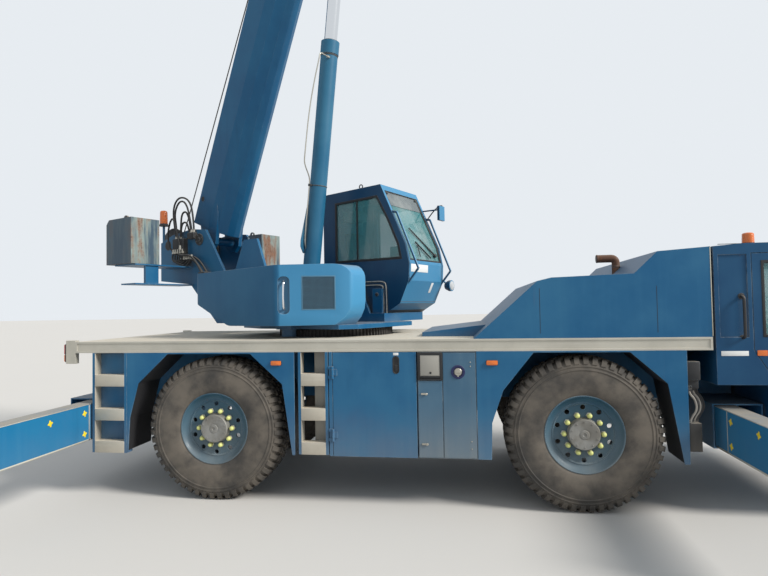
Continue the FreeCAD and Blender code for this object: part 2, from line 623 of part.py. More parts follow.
def driver_cab_shell():
    """Hollow full-width cab with its windscreen and door openings cut, and its mirrors."""
    low = [(CAB_FRONT_X, CAB_BOTTOM_Z), (CAB_STEP_X, CAB_BOTTOM_Z), (CAB_STEP_X, CAB_FLOOR_Z)]
    low_in = [(CAB_FRONT_X - CAB_WALL - 2, CAB_BOTTOM_Z + CAB_WALL),
              (CAB_STEP_X + CAB_WALL, CAB_BOTTOM_Z + CAB_WALL),
              (CAB_STEP_X + CAB_WALL, CAB_FLOOR_Z + CAB_WALL)]
    outer = [(CAB_REAR_X, CAB_FLOOR_Z)] + cab_points(CAB_ROOF) + low
    inner = [(CAB_REAR_X + CAB_WALL, CAB_FLOOR_Z + CAB_WALL)] + cab_points(CAB_ROOF_INNER) + low_in
    shell = side_prism(outer, -BODY_HALF_W, BODY_HALF_W)
    shell = shell.cut(side_prism(inner, -BODY_HALF_W + CAB_WALL, BODY_HALF_W - CAB_WALL))
    screen = side_prism([(SCREEN_LOW[0] - 200, SCREEN_LOW[1]), (SCREEN_LOW[0] + 100, SCREEN_LOW[1]),
                         (SCREEN_HIGH[0] + 200, SCREEN_HIGH[1]), (SCREEN_HIGH[0] - 200, SCREEN_HIGH[1])],
                        -WINDSCREEN_HALF_W, WINDSCREEN_HALF_W)
    parts = [shell.cut(screen)]
    cuts = []
    for side in (-1, 1):
        y0, y1 = sorted((side * (BODY_HALF_W + 1), side * (BODY_HALF_W - CAB_WALL - 1)))
        cuts.append(side_prism(CAB_DOOR, y0, y1))
        cuts.append(side_block(CAB_REAR_X + 40, CAB_REAR_X + 280, side, BODY_HALF_W - CAB_FIELD_DEPTH,
                               BODY_HALF_W + 1, CAB_FLOOR_Z + 430, CAB_FLOOR_Z + 1180))
        parts.append(mirror_head(side))
    leaves = CAB_HINGE[1] + [mirror_y(leaf) for leaf in CAB_HINGE[1]]
    return join([join(parts).cut(cuts)] + leaves)


MIRROR_W = 190.0
MIRROR_H = 400.0
MIRROR_OUT = 90.0           # gap between the cab's side and the mirror


def mirror_head(side):
    """Rear view mirror with two arms from the windscreen pillar."""
    x = CAB_FRONT_X - 60
    y = BODY_HALF_W + MIRROR_OUT
    middle = CAB_FLOOR_Z + 850
    head = side_block(x, x + 45, side, y, y + MIRROR_W, middle - MIRROR_H / 2, middle + MIRROR_H / 2)
    arms = []
    for rise, back in ((160, 190), (-160, 115)):
        arms.append(strut((CAB_FRONT_X - back, side * (BODY_HALF_W - 30), middle + rise),
                          (x + 20, side * (y + 20), middle + rise), 11))
    return join([head] + arms)


def driver_cab_glass():
    """Windscreen pane seated in its opening."""
    deep = 20.0 + CAB_GLASS_T
    return side_prism([(SCREEN_LOW[0] - deep, SCREEN_LOW[1]), (SCREEN_LOW[0] - 20, SCREEN_LOW[1]),
                       (SCREEN_HIGH[0] - 20, SCREEN_HIGH[1]), (SCREEN_HIGH[0] - deep, SCREEN_HIGH[1])],
                      -WINDSCREEN_HALF_W, WINDSCREEN_HALF_W)


def driver_cab_door():
    """Right door: one panel as thick as the wall, with its window cut."""
    panel = side_prism(inset(CAB_DOOR, RUN_CLEAR), -BODY_HALF_W, -BODY_HALF_W + CAB_WALL)
    window = side_prism(cab_points(CAB_WINDOW_SIDE), -BODY_HALF_W - 1, -BODY_HALF_W + CAB_WALL + 1)
    return join([panel.cut(window)] + CAB_HINGE[0])


WHEEL_RIM_R = 210.0
WHEEL_RIM_T = 22.0
SEAT_TOP_Z = CAB_FLOOR_Z + 90.0


def driver_cab_interior():
    """Two seats on pedestals, dash panel and steering wheel."""
    out = []
    seat_x = CAB_REAR_X + 586
    for y in (-SEAT_Y, SEAT_Y):
        base = block(seat_x + 60, seat_x + 440, y - 180, y + 180, CAB_BOTTOM_Z + CAB_WALL, SEAT_TOP_Z - 120)
        cushion = block(seat_x, seat_x + 500, y - 240, y + 240, SEAT_TOP_Z - 120, SEAT_TOP_Z)
        back = side_prism([(seat_x - 20, SEAT_TOP_Z - 120), (seat_x - 90, SEAT_TOP_Z + 600),
                           (seat_x + 20, SEAT_TOP_Z + 620), (seat_x + 100, SEAT_TOP_Z),
                           (seat_x + 100, SEAT_TOP_Z - 120)], y - 230, y + 230)
        out.append(join([base, cushion, back]))
    face = CAB_FRONT_X - CAB_WALL - 2
    dash_z = CAB_FLOOR_Z + 350
    panel = [(face - 262, dash_z - 60), (face - 212, dash_z), (face - 42, dash_z - 30), (face, dash_z - 160),
             (face, dash_z - 410), (face - 142, dash_z - 410)]
    dash = side_prism(panel, -BODY_HALF_W + CAB_WALL, BODY_HALF_W - CAB_WALL)
    lean = V(-0.55, 0, 1).normalize()
    hub = V(face - 352, SEAT_Y, dash_z)
    inner = WHEEL_RIM_R - WHEEL_RIM_T
    outline = [(inner, -WHEEL_RIM_T / 2), (WHEEL_RIM_R, -WHEEL_RIM_T / 2), (WHEEL_RIM_R, WHEEL_RIM_T / 2),
               (inner, WHEEL_RIM_T / 2)]
    wheel = faceted(outline, hub, lean, 24)
    spoke = strut(hub + V(0, -inner - 5, 0), hub + V(0, inner + 5, 0), 11)
    column = strut(hub - lean * 10, (face - 122, SEAT_Y, dash_z - 100), 32)
    out.append(join([dash, column, wheel, spoke]))
    return Part.Compound(out)


TOW_REACH = 210.0
TOW_HALF_W = 60.0
TOW_PIN_R = 20.0
TOW_PIN_X = CAB_FRONT_X + 160.0
TOW_Z = 600.0
BUMPER_HALF_W = BODY_HALF_W - 10.0
LAMP_R = 75.0
LAMP_SIDES = 20
LAMP_SEAT_X = CAB_FRONT_X + 40.0
LAMP_Y = (BODY_HALF_W - 380.0, BODY_HALF_W - 200.0)


def front_bumper():
    """Deep bumper under the cab with lamp pockets and tow jaw."""
    rear = CAB_FRONT_X - 120
    bar = side_prism([(rear, CAB_BOTTOM_Z - 300), (rear, CAB_BOTTOM_Z), (CAB_FRONT_X + 60, CAB_BOTTOM_Z),
                      (CAB_FRONT_X + 90, CAB_BOTTOM_Z - 50), (CAB_FRONT_X + 60, CAB_BOTTOM_Z - 280),
                      (CAB_FRONT_X + 20, CAB_BOTTOM_Z - 300)], -BUMPER_HALF_W, BUMPER_HALF_W)
    wings = [side_block(CAB_STEP_X + 60, rear + 10, side, BUMPER_HALF_W - 120, BUMPER_HALF_W,
                        CAB_BOTTOM_Z - 270, CAB_BOTTOM_Z) for side in (-1, 1)]
    jaw = block(CAB_FRONT_X + 60, CAB_FRONT_X + TOW_REACH, -TOW_HALF_W, TOW_HALF_W, TOW_Z - 60, TOW_Z + 60)
    slot = block(CAB_FRONT_X + 100, CAB_FRONT_X + TOW_REACH + 1, -TOW_HALF_W - 1, TOW_HALF_W + 1,
                 TOW_Z - 20, TOW_Z + 20)
    pin = rod((TOW_PIN_X, 0, TOW_Z), Z_AXIS, TOW_PIN_R, 300)
    pockets = [strut((LAMP_SEAT_X, side * y, TOW_Z), (CAB_FRONT_X + 120, side * y, TOW_Z),
                     LAMP_R + SEAT_CLEAR, LAMP_SIDES) for side in (-1, 1) for y in LAMP_Y]
    return join([bar] + wings + [jaw.cut(slot)]).cut([pin] + pockets)


def lamps():
    """Round lamps in the bumper, and tail lamps behind the rear corner posts."""
    out = []
    for side in (-1, 1):
        for y in LAMP_Y:
            out.append(strut((LAMP_SEAT_X, side * y, TOW_Z), (LAMP_SEAT_X + 30, side * y, TOW_Z),
                             LAMP_R, LAMP_SIDES))
        rear = DECK_REAR_X - CORNER_W
        out.append(side_block(rear - 30, rear, side, BODY_HALF_W - EDGE_W + 5, BODY_HALF_W - 5,
                              CORNER_BOTTOM_Z + 20, CORNER_TOP_Z - 40))
    return Part.Compound(out)


def beacon(x, y, z, height):
    """Lamp dome on its foot."""
    side = [(0, 0), (60, 0), (60, 30), (54, 34), (50, height - 24), (36, height - 7), (0, height)]
    return faceted(side, (x, y, z), Z_AXIS, 16)


# Axles, knuckles and wheels

def axle(axle_x):
    """Driven axle: tube, final drive, suspension legs and kingpin bosses."""
    end = KINGPIN_Y - 55
    low, high = TYRE_R - BOSS_H, TYRE_R + BOSS_H
    tube = strut((axle_x, -end, TYRE_R), (axle_x, end, TYRE_R), AXLE_TUBE_R, 16)
    shares = ((0, -1), (0.6, -0.8), (1, -0.3), (1, 0.3), (0.6, 0.8), (0, 1))
    drive = faceted([(r * DRIVE_R, a * DRIVE_R) for r, a in shares], (axle_x, 0, TYRE_R), X_AXIS, 16)
    parts = [tube, drive]
    for side in (-1, 1):
        parts.append(strut((axle_x, side * 300, TYRE_R), (axle_x, side * 300, RAIL_BOTTOM_Z), 65, 12))
        parts.append(side_block(axle_x - 42, axle_x + 42, side, KINGPIN_Y - 75, KINGPIN_Y, low, high))
        parts.append(strut((axle_x, side * KINGPIN_Y, low), (axle_x, side * KINGPIN_Y, high), BOSS_R, 12))
    bores = [rod((axle_x, side * KINGPIN_Y, TYRE_R), Z_AXIS, KINGPIN_R + FIT_CLEAR, 400) for side in (-1, 1)]
    return join(parts).cut(bores)


def knuckle(axle_x):
    """Right steering knuckle: fork, kingpin and spindle."""
    y = -KINGPIN_Y
    parts = []
    for side in (-1, 1):
        z0, z1 = sorted((TYRE_R + side * (BOSS_H + 7), TYRE_R + side * KNUCKLE_H))
        parts.append(block(axle_x - 70, axle_x + 70, y - 95, y + 50, z0, z1))
    parts.append(block(axle_x - 70, axle_x + 70, y - 95, y - 62, TYRE_R - KNUCKLE_H, TYRE_R + KNUCKLE_H))
    parts.append(rod((axle_x, y, TYRE_R), Z_AXIS, KINGPIN_R, 2 * KNUCKLE_H + 26))
    parts.append(rod((axle_x, y - 150, TYRE_R), Y_AXIS, SPINDLE_R, 130))
    return join(parts)


def rim(axle_x):
    """Right wheel: barrel with flanges, dished disc with hand holes, hub and cap."""
    half = RIM_W / 2
    inner = RIM_BARREL_R - RIM_T
    outline = [
        (inner, -half), (RIM_FLANGE_R, -half), (RIM_FLANGE_R, -half + 12), (RIM_BARREL_R, -half + 24),
        (RIM_BARREL_R, half - 24), (RIM_FLANGE_R, half - 12), (RIM_FLANGE_R, half), (inner, half),
        (inner, 100), (HUB_R + 60, 75), (HUB_R, 75),
        (HUB_R, 130), (HUB_R - 25, 150), (0, 150), (0, -20), (HUB_R - 30, -20),
        (HUB_R - 30, 60), (HUB_R + 60, 60), (inner, 84),
    ]
    wheel = faceted(outline, (axle_x, -WHEEL_Y, TYRE_R), V(0, -1, 0), WHEEL_SIDES)
    cuts = [rod((axle_x, -WHEEL_Y - 48, TYRE_R), Y_AXIS, SPINDLE_R + FIT_CLEAR, 140)]
    for count in range(HAND_HOLES):
        turn = math.radians(360.0 * count / HAND_HOLES)
        x, z = axle_x + HAND_HOLE_PCR * math.cos(turn), TYRE_R + HAND_HOLE_PCR * math.sin(turn)
        cuts.append(strut((x, -WHEEL_Y - 20, z), (x, -WHEEL_Y - 140, z), HAND_HOLE_R))
    return wheel.cut(cuts)


def tyre(axle_x):
    """Right tyre: round shoulders and bulged sides on the rim's seat."""
    bead = RIM_W / 2 - 24 - SEAT_CLEAR
    seat = RIM_BARREL_R + SEAT_CLEAR
    half = TYRE_W / 2
    right = [(seat, bead), (RIM_FLANGE_R + 30, bead + 10), (0.76 * TYRE_R, half), (TYRE_R - 45, half - 14),
             (TYRE_R - 13, half - 40), (TYRE_R, half - 130)]
    outline = right + [(r, -a) for r, a in right[::-1]]
    return faceted(outline, (axle_x, -WHEEL_Y, TYRE_R), V(0, -1, 0), WHEEL_SIDES)


# Outriggers

def beam(face_x, side):
    """Right beam with its jack housing at the tip, drawn extended."""
    x0, x1 = sorted((face_x, face_x + side * BEAM_W))
    z0, z1 = BEAM_BOTTOM_Z, BEAM_BOTTOM_Z + BEAM_H
    tip = -JACK_Y + JACK_HOUSING_R - 10
    root = -BOX_END_Y + BEAM_STAY
    tube = block(x0, x1, tip, root, z0, z1)
    tube = tube.cut(block(x0 + BEAM_T, x1 - BEAM_T, tip + BEAM_T, root + 1, z0 + BEAM_T, z1 - BEAM_T))
    x = (x0 + x1) / 2
    housing = strut((x, -JACK_Y, JACK_HOUSING_BOTTOM_Z), (x, -JACK_Y, JACK_TOP_Z), JACK_HOUSING_R, 20)
    length = JACK_TOP_Z - 20 - JACK_HOUSING_BOTTOM_Z + 1
    bore = Part.makeCylinder(JACK_ROD_R + FIT_CLEAR, length, V(x, -JACK_Y, JACK_HOUSING_BOTTOM_Z - 1), Z_AXIS)
    return join([tube, housing]).cut(bore)


def jack(face_x, side):
    """Right jack: rod and round foot on the ground."""
    x = face_x + side * BEAM_W / 2
    leg = Part.makeCylinder(JACK_ROD_R, JACK_ROD_TOP_Z - PAD_T, V(x, -JACK_Y, PAD_T), Z_AXIS)
    foot = faceted([(0, 0), (PAD_R, 0), (PAD_R, PAD_T), (100, PAD_T), (62, PAD_T + 60), (0, PAD_T + 60)],
                   (x, -JACK_Y, 0), Z_AXIS, 24)
    return join([leg, foot])


# Slewing ring

def slew_ring():
    """Fixed outer race with teeth around it."""
    points = []
    for count in range(RING_TEETH):
        for part, radius in ((-0.34, RING_ROOT_R), (-0.14, RING_R), (0.14, RING_R), (0.34, RING_ROOT_R)):
            turn = 2 * math.pi * (count + part) / RING_TEETH
            points.append((radius * math.cos(turn), radius * math.sin(turn)))
    body = plan_prism(points, RING_BOTTOM_Z, RING_TOP_Z)
    return body.cut(rod((0, 0, RING_TOP_Z), Z_AXIS, RING_INNER_R, 400))


# Turntable, seen from the side: columns are x, z above the base plate
TAIL_X = -2980.0
TOWER_SIDE = [
    (TAIL_X, 615), (TAIL_X, 1175), (-2700, 1275), (-2290, 1325), (-1980, 1295), (-1560, 635), (-250, 545),
    (100, 465), (300, 0), (-1750, 0), (-2300, 545),
]
TAIL_FLOOR = [(TAIL_X, 615), (TAIL_X, 655), (-2300, 585), (-1700, 40), (-1700, 0), (-1750, 0), (-2300, 545)]
BASE_PLAN = [(-1100, -500), (-560, -740), (-150, -740), (-150, -890), (70, -890), (70, -740), (620, -740),
             (750, -560), (750, 560), (620, 740), (-560, 740), (-1100, 500)]
SIDE_LUG = [(-1420, 610), (-1212, 1088), (-975, 1088), (-780, 580)]     # on the right plate only
CAB_BRACKETS = ((-109, 30), (276, 420))     # between the plate and the crane cab, along x
WINCH_X = -2806.0
WINCH_Z = 1130.0
DRUM_R = 200.0
FLANGE_R = 265.0
FLANGE_T = 24.0
SHAFT_R = 70.0
WEIGHT_BOTTOM_Z = 793.0
WEIGHT_TOP_Z = 1385.0
WEIGHT_X0 = -2800.0
WEIGHT_X1 = -2245.0
WEIGHT_IN_Y = 922.0
WEIGHT_OUT_Y = 1330.0
SHELF_T = 18.0
SHELF_DROP = 250.0          # from the weights down to the lower shelf
SLEW_DRIVE = (-40.0, -800.0)
SLEW_DRIVE_R = 80.0
UPPER_CAB_BOTTOM_Z = 105.0
HOUSING_TOP_Z = 655.0
POST_TOP_Z = 1430.0         # post of the rear beacon


def turntable_frame():
    """Base plate, tower plates, shelves of the weights, cylinder lugs and inner race."""
    race_low = RING_BOTTOM_Z + 25 - PLATE_TOP_Z
    race = ring((0, 0, (race_low - PLATE_T) / 2), Z_AXIS, RING_INNER_R - FIT_CLEAR, RING_INNER_R - 80,
                -PLATE_T - race_low)
    out_y = TOWER_IN_Y + TOWER_T
    parts = [race, plan_prism(BASE_PLAN, -PLATE_T, 0)]
    lug = [(-240, 0), (-100, CYL_BASE_Z + 60), (-40, CYL_BASE_Z + 110), (40, CYL_BASE_Z + 110),
           (100, CYL_BASE_Z + 60), (240, 0)]
    for side in (-1, 1):
        y0, y1 = sorted((side * TOWER_IN_Y, side * out_y))
        parts.append(side_prism(TOWER_SIDE, y0, y1))
        y0, y1 = sorted((side * (CHEEK_IN_Y + 6), side * (CHEEK_IN_Y + 36)))
        parts.append(side_prism([(CYL_BASE_X + x, z) for x, z in lug], y0, y1))
        # Shelves under the weights, with a post between them
        for x0, z in ((WEIGHT_X0 + 100, WEIGHT_BOTTOM_Z), (WEIGHT_X1 - 315, WEIGHT_BOTTOM_Z - SHELF_DROP)):
            parts.append(side_block(x0, WEIGHT_X1, side, out_y, WEIGHT_OUT_Y - 60, z - SHELF_T, z))
        parts.append(side_block(WEIGHT_X1 - 60, WEIGHT_X1 - 20, side, WEIGHT_IN_Y, WEIGHT_IN_Y + 190,
                                WEIGHT_BOTTOM_Z - SHELF_DROP - 1, WEIGHT_BOTTOM_Z - SHELF_T + 1))
    parts.append(side_prism(SIDE_LUG, -out_y, -TOWER_IN_Y))
    parts += [block(x0, x1, out_y, UPPER_CAB_IN_Y, 0, UPPER_CAB_BOTTOM_Z + 310) for x0, x1 in CAB_BRACKETS]
    parts.append(block(-1700, -1640, -TOWER_IN_Y, TOWER_IN_Y, 0, 595))
    parts.append(side_prism(TAIL_FLOOR, -TOWER_IN_Y, TOWER_IN_Y))
    parts.append(block(-480, 480, TOWER_IN_Y, TOWER_IN_Y + 950, 0, UPPER_CAB_BOTTOM_Z))
    parts.append(rod((FOOT_PIN_X, 0, FOOT_PIN_Z), Y_AXIS, FOOT_PIN_R, 2 * out_y + 20))
    parts.append(rod((CYL_BASE_X, 0, CYL_BASE_Z), Y_AXIS, CYL_PIN_R, 2 * (CHEEK_IN_Y + 36) + 20))
    drive_low = DECK_TOP_Z + 10 - PLATE_TOP_Z
    parts.append(strut((*SLEW_DRIVE, drive_low), (*SLEW_DRIVE, -1), SLEW_DRIVE_R, 16))
    tail_post = (TAIL_X + 40, -(TOWER_IN_Y + TOWER_T / 2))
    parts.append(strut((*tail_post, 1150), (*tail_post, POST_TOP_Z), 18))
    parts.append(beacon(*tail_post, POST_TOP_Z - 1, 230))
    return to_upper(join(parts))


# Plan of the side housing: rear, corner of its two outer faces, front
HOUSING_REAR_X = -1150.0
HOUSING_EDGE = (150.0, -1200.0)
HOUSING_FRONT = (730.0, -630.0)
GRILLE = (272.0, 627.0, 165.0, 523.0)       # along the front face from its corner, heights
GRILLE_DEPTH = 25.0
GRILLE_BARS = 9
HANDLE_FIELD = (15.0, 150.0, 120.0, 525.0)
HANDLE_DEPTH = 45.0


def on_front_face(along, deep):
    """Point in plan along the housing's front face, and so far behind it."""
    length = math.dist(HOUSING_EDGE, HOUSING_FRONT)
    dx = (HOUSING_FRONT[0] - HOUSING_EDGE[0]) / length
    dy = (HOUSING_FRONT[1] - HOUSING_EDGE[1]) / length
    return HOUSING_EDGE[0] + along * dx - deep * dy, HOUSING_EDGE[1] + along * dy + deep * dx


def face_block(along0, along1, deep0, deep1, z0, z1):
    """Box square to the housing's front face."""
    corners = ((along0, deep0), (along1, deep0), (along1, deep1), (along0, deep1))
    return plan_prism([on_front_face(*corner) for corner in corners], z0, z1)


def side_housing():
    """Folded housing of the hydraulics on the right of the turntable, with its grille and handle field."""
    inner = -TOWER_IN_Y - TOWER_T - RUN_CLEAR
    plan = [(HOUSING_REAR_X, inner), (HOUSING_REAR_X, HOUSING_EDGE[1]), HOUSING_EDGE, HOUSING_FRONT,
            (HOUSING_FRONT[0], inner)]
    body = plan_prism(plan, 0, HOUSING_TOP_Z)
    front = HOUSING_FRONT[0]
    # Cut corners, seen from the side: low rear, sloped top, rounded front
    corners = (
        [(HOUSING_REAR_X - 1, -1), (HOUSING_REAR_X - 1, 265), (-590, 0), (-590, -1)],
        [(HOUSING_REAR_X - 1, 607), (HOUSING_REAR_X - 1, 700), (front + 1, 700), (front + 1, 660)],
        [(front - 140, -1), (front - 60, 80), (front - 15, 170), (front + 1, 260), (front + 1, -1)],
        [(front - 60, 700), (front - 60, 640), (front + 1, 480), (front + 1, 700)],
    )
    cuts = [side_prism(points, HOUSING_EDGE[1] - 100, 0) for points in corners]
    a0, a1, z0, z1 = GRILLE
    cuts.append(face_block(a0, a1, -1, GRILLE_DEPTH, z0, z1))
    h0, h1, low, high = HANDLE_FIELD
    cuts.append(face_block(h0, h1, -1, HANDLE_DEPTH, low, high))
    pitch = (z1 - z0) / GRILLE_BARS
    lows = [z0 + pitch * (count + 0.3) for count in range(GRILLE_BARS)]
    bars = [face_block(a0 - 1, a1 + 1, 4, GRILLE_DEPTH + 1, low, low + 0.4 * pitch) for low in lows]
    return to_upper(join([body.cut(cuts)] + bars))


def counterweights():
    """One cast block on each side of the winch, with a lifting eye."""
    weight = side_prism([(WEIGHT_X0, WEIGHT_BOTTOM_Z), (WEIGHT_X0, WEIGHT_TOP_Z - 60),
                         (WEIGHT_X0 + 60, WEIGHT_TOP_Z), (WEIGHT_X1, WEIGHT_TOP_Z),
                         (WEIGHT_X1, WEIGHT_BOTTOM_Z)], -WEIGHT_OUT_Y, -WEIGHT_IN_Y)
    x, y = WEIGHT_X0 + 130, -(WEIGHT_IN_Y + WEIGHT_OUT_Y) / 2
    eye = faceted([(28, -12), (48, -12), (48, 12), (28, 12)], (x, y, WEIGHT_TOP_Z + 36), Y_AXIS, 12)
    weight = join([weight, eye])
    return to_upper(Part.Compound([weight, mirror_y(weight)]))


def winch():
    """Hoist drum with its flanges and shaft."""
    half = TOWER_IN_Y - 50
    outer, inner = half + FLANGE_T / 2, half - FLANGE_T / 2
    profile = [(0, -TOWER_IN_Y), (SHAFT_R, -TOWER_IN_Y), (SHAFT_R, -outer), (FLANGE_R, -outer),
               (FLANGE_R, -inner), (DRUM_R, -inner)]
    profile += [(r, -a) for r, a in profile[::-1]]
    return to_upper(faceted(profile, (WINCH_X, 0, WINCH_Z), Y_AXIS, 28))


# Crane operator's cab, seen from the side: columns are x, z above the base plate
UPPER_CAB_SIDE = [
    (-560, UPPER_CAB_BOTTOM_Z), (-560, 1685), (-500, 1715), (380, 1750), (570, 1335), (740, 965), (790, 725),
    (780, 505), (650, 225), (440, UPPER_CAB_BOTTOM_Z),
]
UPPER_CAB_IN_Y = TOWER_IN_Y + TOWER_T + 60.0
UPPER_CAB_OUT_Y = UPPER_CAB_IN_Y + 900.0
UPPER_CAB_WALL = 35.0
UPPER_CAB_WINDOW = [(-360, 775), (-360, 1585), (330, 1615), (500, 1305), (650, 975), (690, 775)]
UPPER_CAB_DOOR = [(-330, 175), (-330, 1635), (350, 1635), (560, 1175), (640, 775), (600, 415), (420, 175)]
UPPER_DOOR_WINDOW = [(-260, 775), (-260, 1565), (310, 1565), (490, 1165), (570, 775)]
UPPER_CAB_HINGE = hinge(-325.0, -UPPER_CAB_OUT_Y, 1, (365.0, 1415.0))
SCREEN_SIDE = [(767, 760), (722, 960), (552, 1330), (394, 1675)]
SCREEN_EDGE = 45.0          # post between the screen and each side
RAIL_R = 15.0


def upper_cab_shell():
    """Hollow cab with side window, front window and door opening cut, and its rails, mirror and work lamp."""
    y0, y1 = UPPER_CAB_IN_Y, UPPER_CAB_OUT_Y
    shell = side_prism(UPPER_CAB_SIDE, y0, y1)
    inner = side_prism(inset(UPPER_CAB_SIDE, UPPER_CAB_WALL), y0 + UPPER_CAB_WALL, y1 - UPPER_CAB_WALL)
    cuts = [
        inner,
        side_prism(UPPER_CAB_WINDOW, y0 - 1, y0 + UPPER_CAB_WALL + 1),
        side_prism(UPPER_CAB_DOOR, y1 - UPPER_CAB_WALL - 1, y1 + 1),
        side_prism([(300, 760), (900, 760), (900, 1675), (380, 1675), (300, 1515)],
                   y0 + SCREEN_EDGE, y1 - SCREEN_EDGE),
    ]
    parts = [shell.cut(cuts)]
    for y in (y0 + SCREEN_EDGE / 2, y1 - SCREEN_EDGE / 2):
        parts.append(bent_bar([(538, y, 1385), (610, y, 1370), (910, y, 650), (755, y, 470)], RAIL_R))
    y = y1 - SCREEN_EDGE / 2
    parts.append(strut((470, y, 1500), (730, y + 60, 1510), 10))
    parts.append(block(715, 750, y + 20, y + 170, 1360, 1560))
    parts.append(strut((800, y, 520), (830, y + 60, 470), 12))
    parts.append(faceted([(0, 0), (50, 0), (75, 50), (75, 90), (0, 90)], (800, y + 70, 455), X_AXIS, 16))
    return to_upper(join(parts + [mirror_y(leaf) for leaf in UPPER_CAB_HINGE[1]]))


def upper_cab_glass():
    """Front window in three flat panes, and the side window."""
    y0, y1 = UPPER_CAB_IN_Y + SCREEN_EDGE, UPPER_CAB_OUT_Y - SCREEN_EDGE
    pane = side_prism(SCREEN_SIDE + [(x - 7, z) for x, z in SCREEN_SIDE[::-1]], y0, y1)
    side = side_prism(UPPER_CAB_WINDOW, UPPER_CAB_IN_Y + 14, UPPER_CAB_IN_Y + 20)
    return to_upper(Part.Compound([pane, side]))


def upper_cab_interior():
    """Operator's seat with armrest consoles."""
    y = (UPPER_CAB_IN_Y + UPPER_CAB_OUT_Y) / 2
    floor = UPPER_CAB_BOTTOM_Z + UPPER_CAB_WALL
    seat_z = floor + 415
    base = block(-250, 50, y - 160, y + 160, floor, seat_z - 120)
    cushion = block(-300, 180, y - 230, y + 230, seat_z - 120, seat_z)
    back = side_prism([(-300, seat_z), (-380, seat_z + 660), (-290, seat_z + 670), (-190, seat_z)],
                      y - 220, y + 220)
    arms = [block(-180, 160, y + arm - 45, y + arm + 45, seat_z, seat_z + 140) for arm in (-290, 290)]
    ties = block(-180, -60, y - 290, y + 290, seat_z - 100, seat_z)
    return to_upper(join([base, cushion, back, ties] + arms))


def upper_cab_door():
    """Hinged door on the left of the crane cab, with its window cut."""
    y0, y1 = UPPER_CAB_OUT_Y - UPPER_CAB_WALL, UPPER_CAB_OUT_Y
    panel = side_prism(inset(UPPER_CAB_DOOR, RUN_CLEAR), y0, y1)
    window = side_prism(UPPER_DOOR_WINDOW, y0 - 1, y1 + 1)
    return to_upper(join([panel.cut(window)] + [mirror_y(leaf) for leaf in UPPER_CAB_HINGE[0]]))


# Lift cylinder, drawn along X from its base pin

def lift_barrel():
    """Barrel with base eye and collar."""
    eye = rod((0, 0, 0), Y_AXIS, 95, 2 * CHEEK_IN_Y)
    tube = Part.makeCylinder(BARREL_R, BARREL_LEN - 60, V(60, 0, 0), X_AXIS)
    collar = Part.makeCylinder(COLLAR_R, 160, V(BARREL_LEN - 160, 0, 0), X_AXIS)
    bore = Part.makeCylinder(LIFT_ROD_R + FIT_CLEAR, BARREL_LEN, V(BORE_START, 0, 0), X_AXIS)
    pin = rod((0, 0, 0), Y_AXIS, CYL_PIN_R + FIT_CLEAR, 600)
    return to_cylinder(join([eye, tube, collar]).cut([bore, pin]))


def eye_distance():
    """Length from the base pin to the rod eye at rest, and the eye's place along the boom."""
    luff = math.radians(LUFF_REST)
    lean = math.radians(CYL_LEAN)
    along = (math.cos(luff), math.sin(luff))
    normal = (-math.sin(luff), math.cos(luff))
    rod_dir = (math.sin(lean), math.cos(lean))
    base = (CYL_BASE_X - FOOT_PIN_X, CYL_BASE_Z - FOOT_PIN_Z)
    depth = BOOM_BELLY - EYE_DROP
    rise = rod_dir[0] * normal[0] + rod_dir[1] * normal[1]
    reach = (depth - base[0] * normal[0] - base[1] * normal[1]) / rise
    place = (base[0] + reach * rod_dir[0]) * along[0] + (base[1] + reach * rod_dir[1]) * along[1]
    return reach, place


EYE_REACH, EYE_PLACE = eye_distance()


def lift_rod():
    """Chromed rod with its eye."""
    start = BORE_START + ROD_TRAVEL + 2 * RUN_CLEAR
    bar = Part.makeCylinder(LIFT_ROD_R, EYE_REACH - 60 - start, V(start, 0, 0), X_AXIS)
    eye = strut((EYE_REACH, -EYE_HALF_W, 0), (EYE_REACH, EYE_HALF_W, 0), EYE_R, 20)
    return to_cylinder(join([bar, eye]))


# Boom, drawn along X from the foot pin: columns are y, z of the base section
BOOM_SECTION = [
    (-BOOM_HALF_W, BOOM_BACK), (BOOM_HALF_W, BOOM_BACK), (BOOM_HALF_W, 60), (BOOM_HALF_W - 35, -95),
    (BOOM_HALF_W - 120, BOOM_BELLY + 49), (45, BOOM_BELLY), (-45, BOOM_BELLY),
    (120 - BOOM_HALF_W, BOOM_BELLY + 49), (35 - BOOM_HALF_W, -95), (-BOOM_HALF_W, 60),
]


def boom_tube(step, x0, x1):
    """One hollow section: step counts inwards from the base section."""
    outside = inset(BOOM_SECTION, step * BOOM_NEST) if step else BOOM_SECTION
    inside = inset(BOOM_SECTION, step * BOOM_NEST + BOOM_WALL)
    tube = cross_prism(outside, x0, x1).cut(cross_prism(inside, x0 - 1, x1 + 1))
    if step == INNER_SECTIONS:
        return tube
    guide = inset(BOOM_SECTION, (step + 1) * BOOM_NEST - SEAT_CLEAR)
    collar = inset(BOOM_SECTION, step * BOOM_NEST - COLLAR_OUT)
    band = cross_prism(collar, x1 - COLLAR_LEN, x1).cut(cross_prism(guide, x1 - COLLAR_LEN - 1, x1 + 1))
    return join([tube, band])


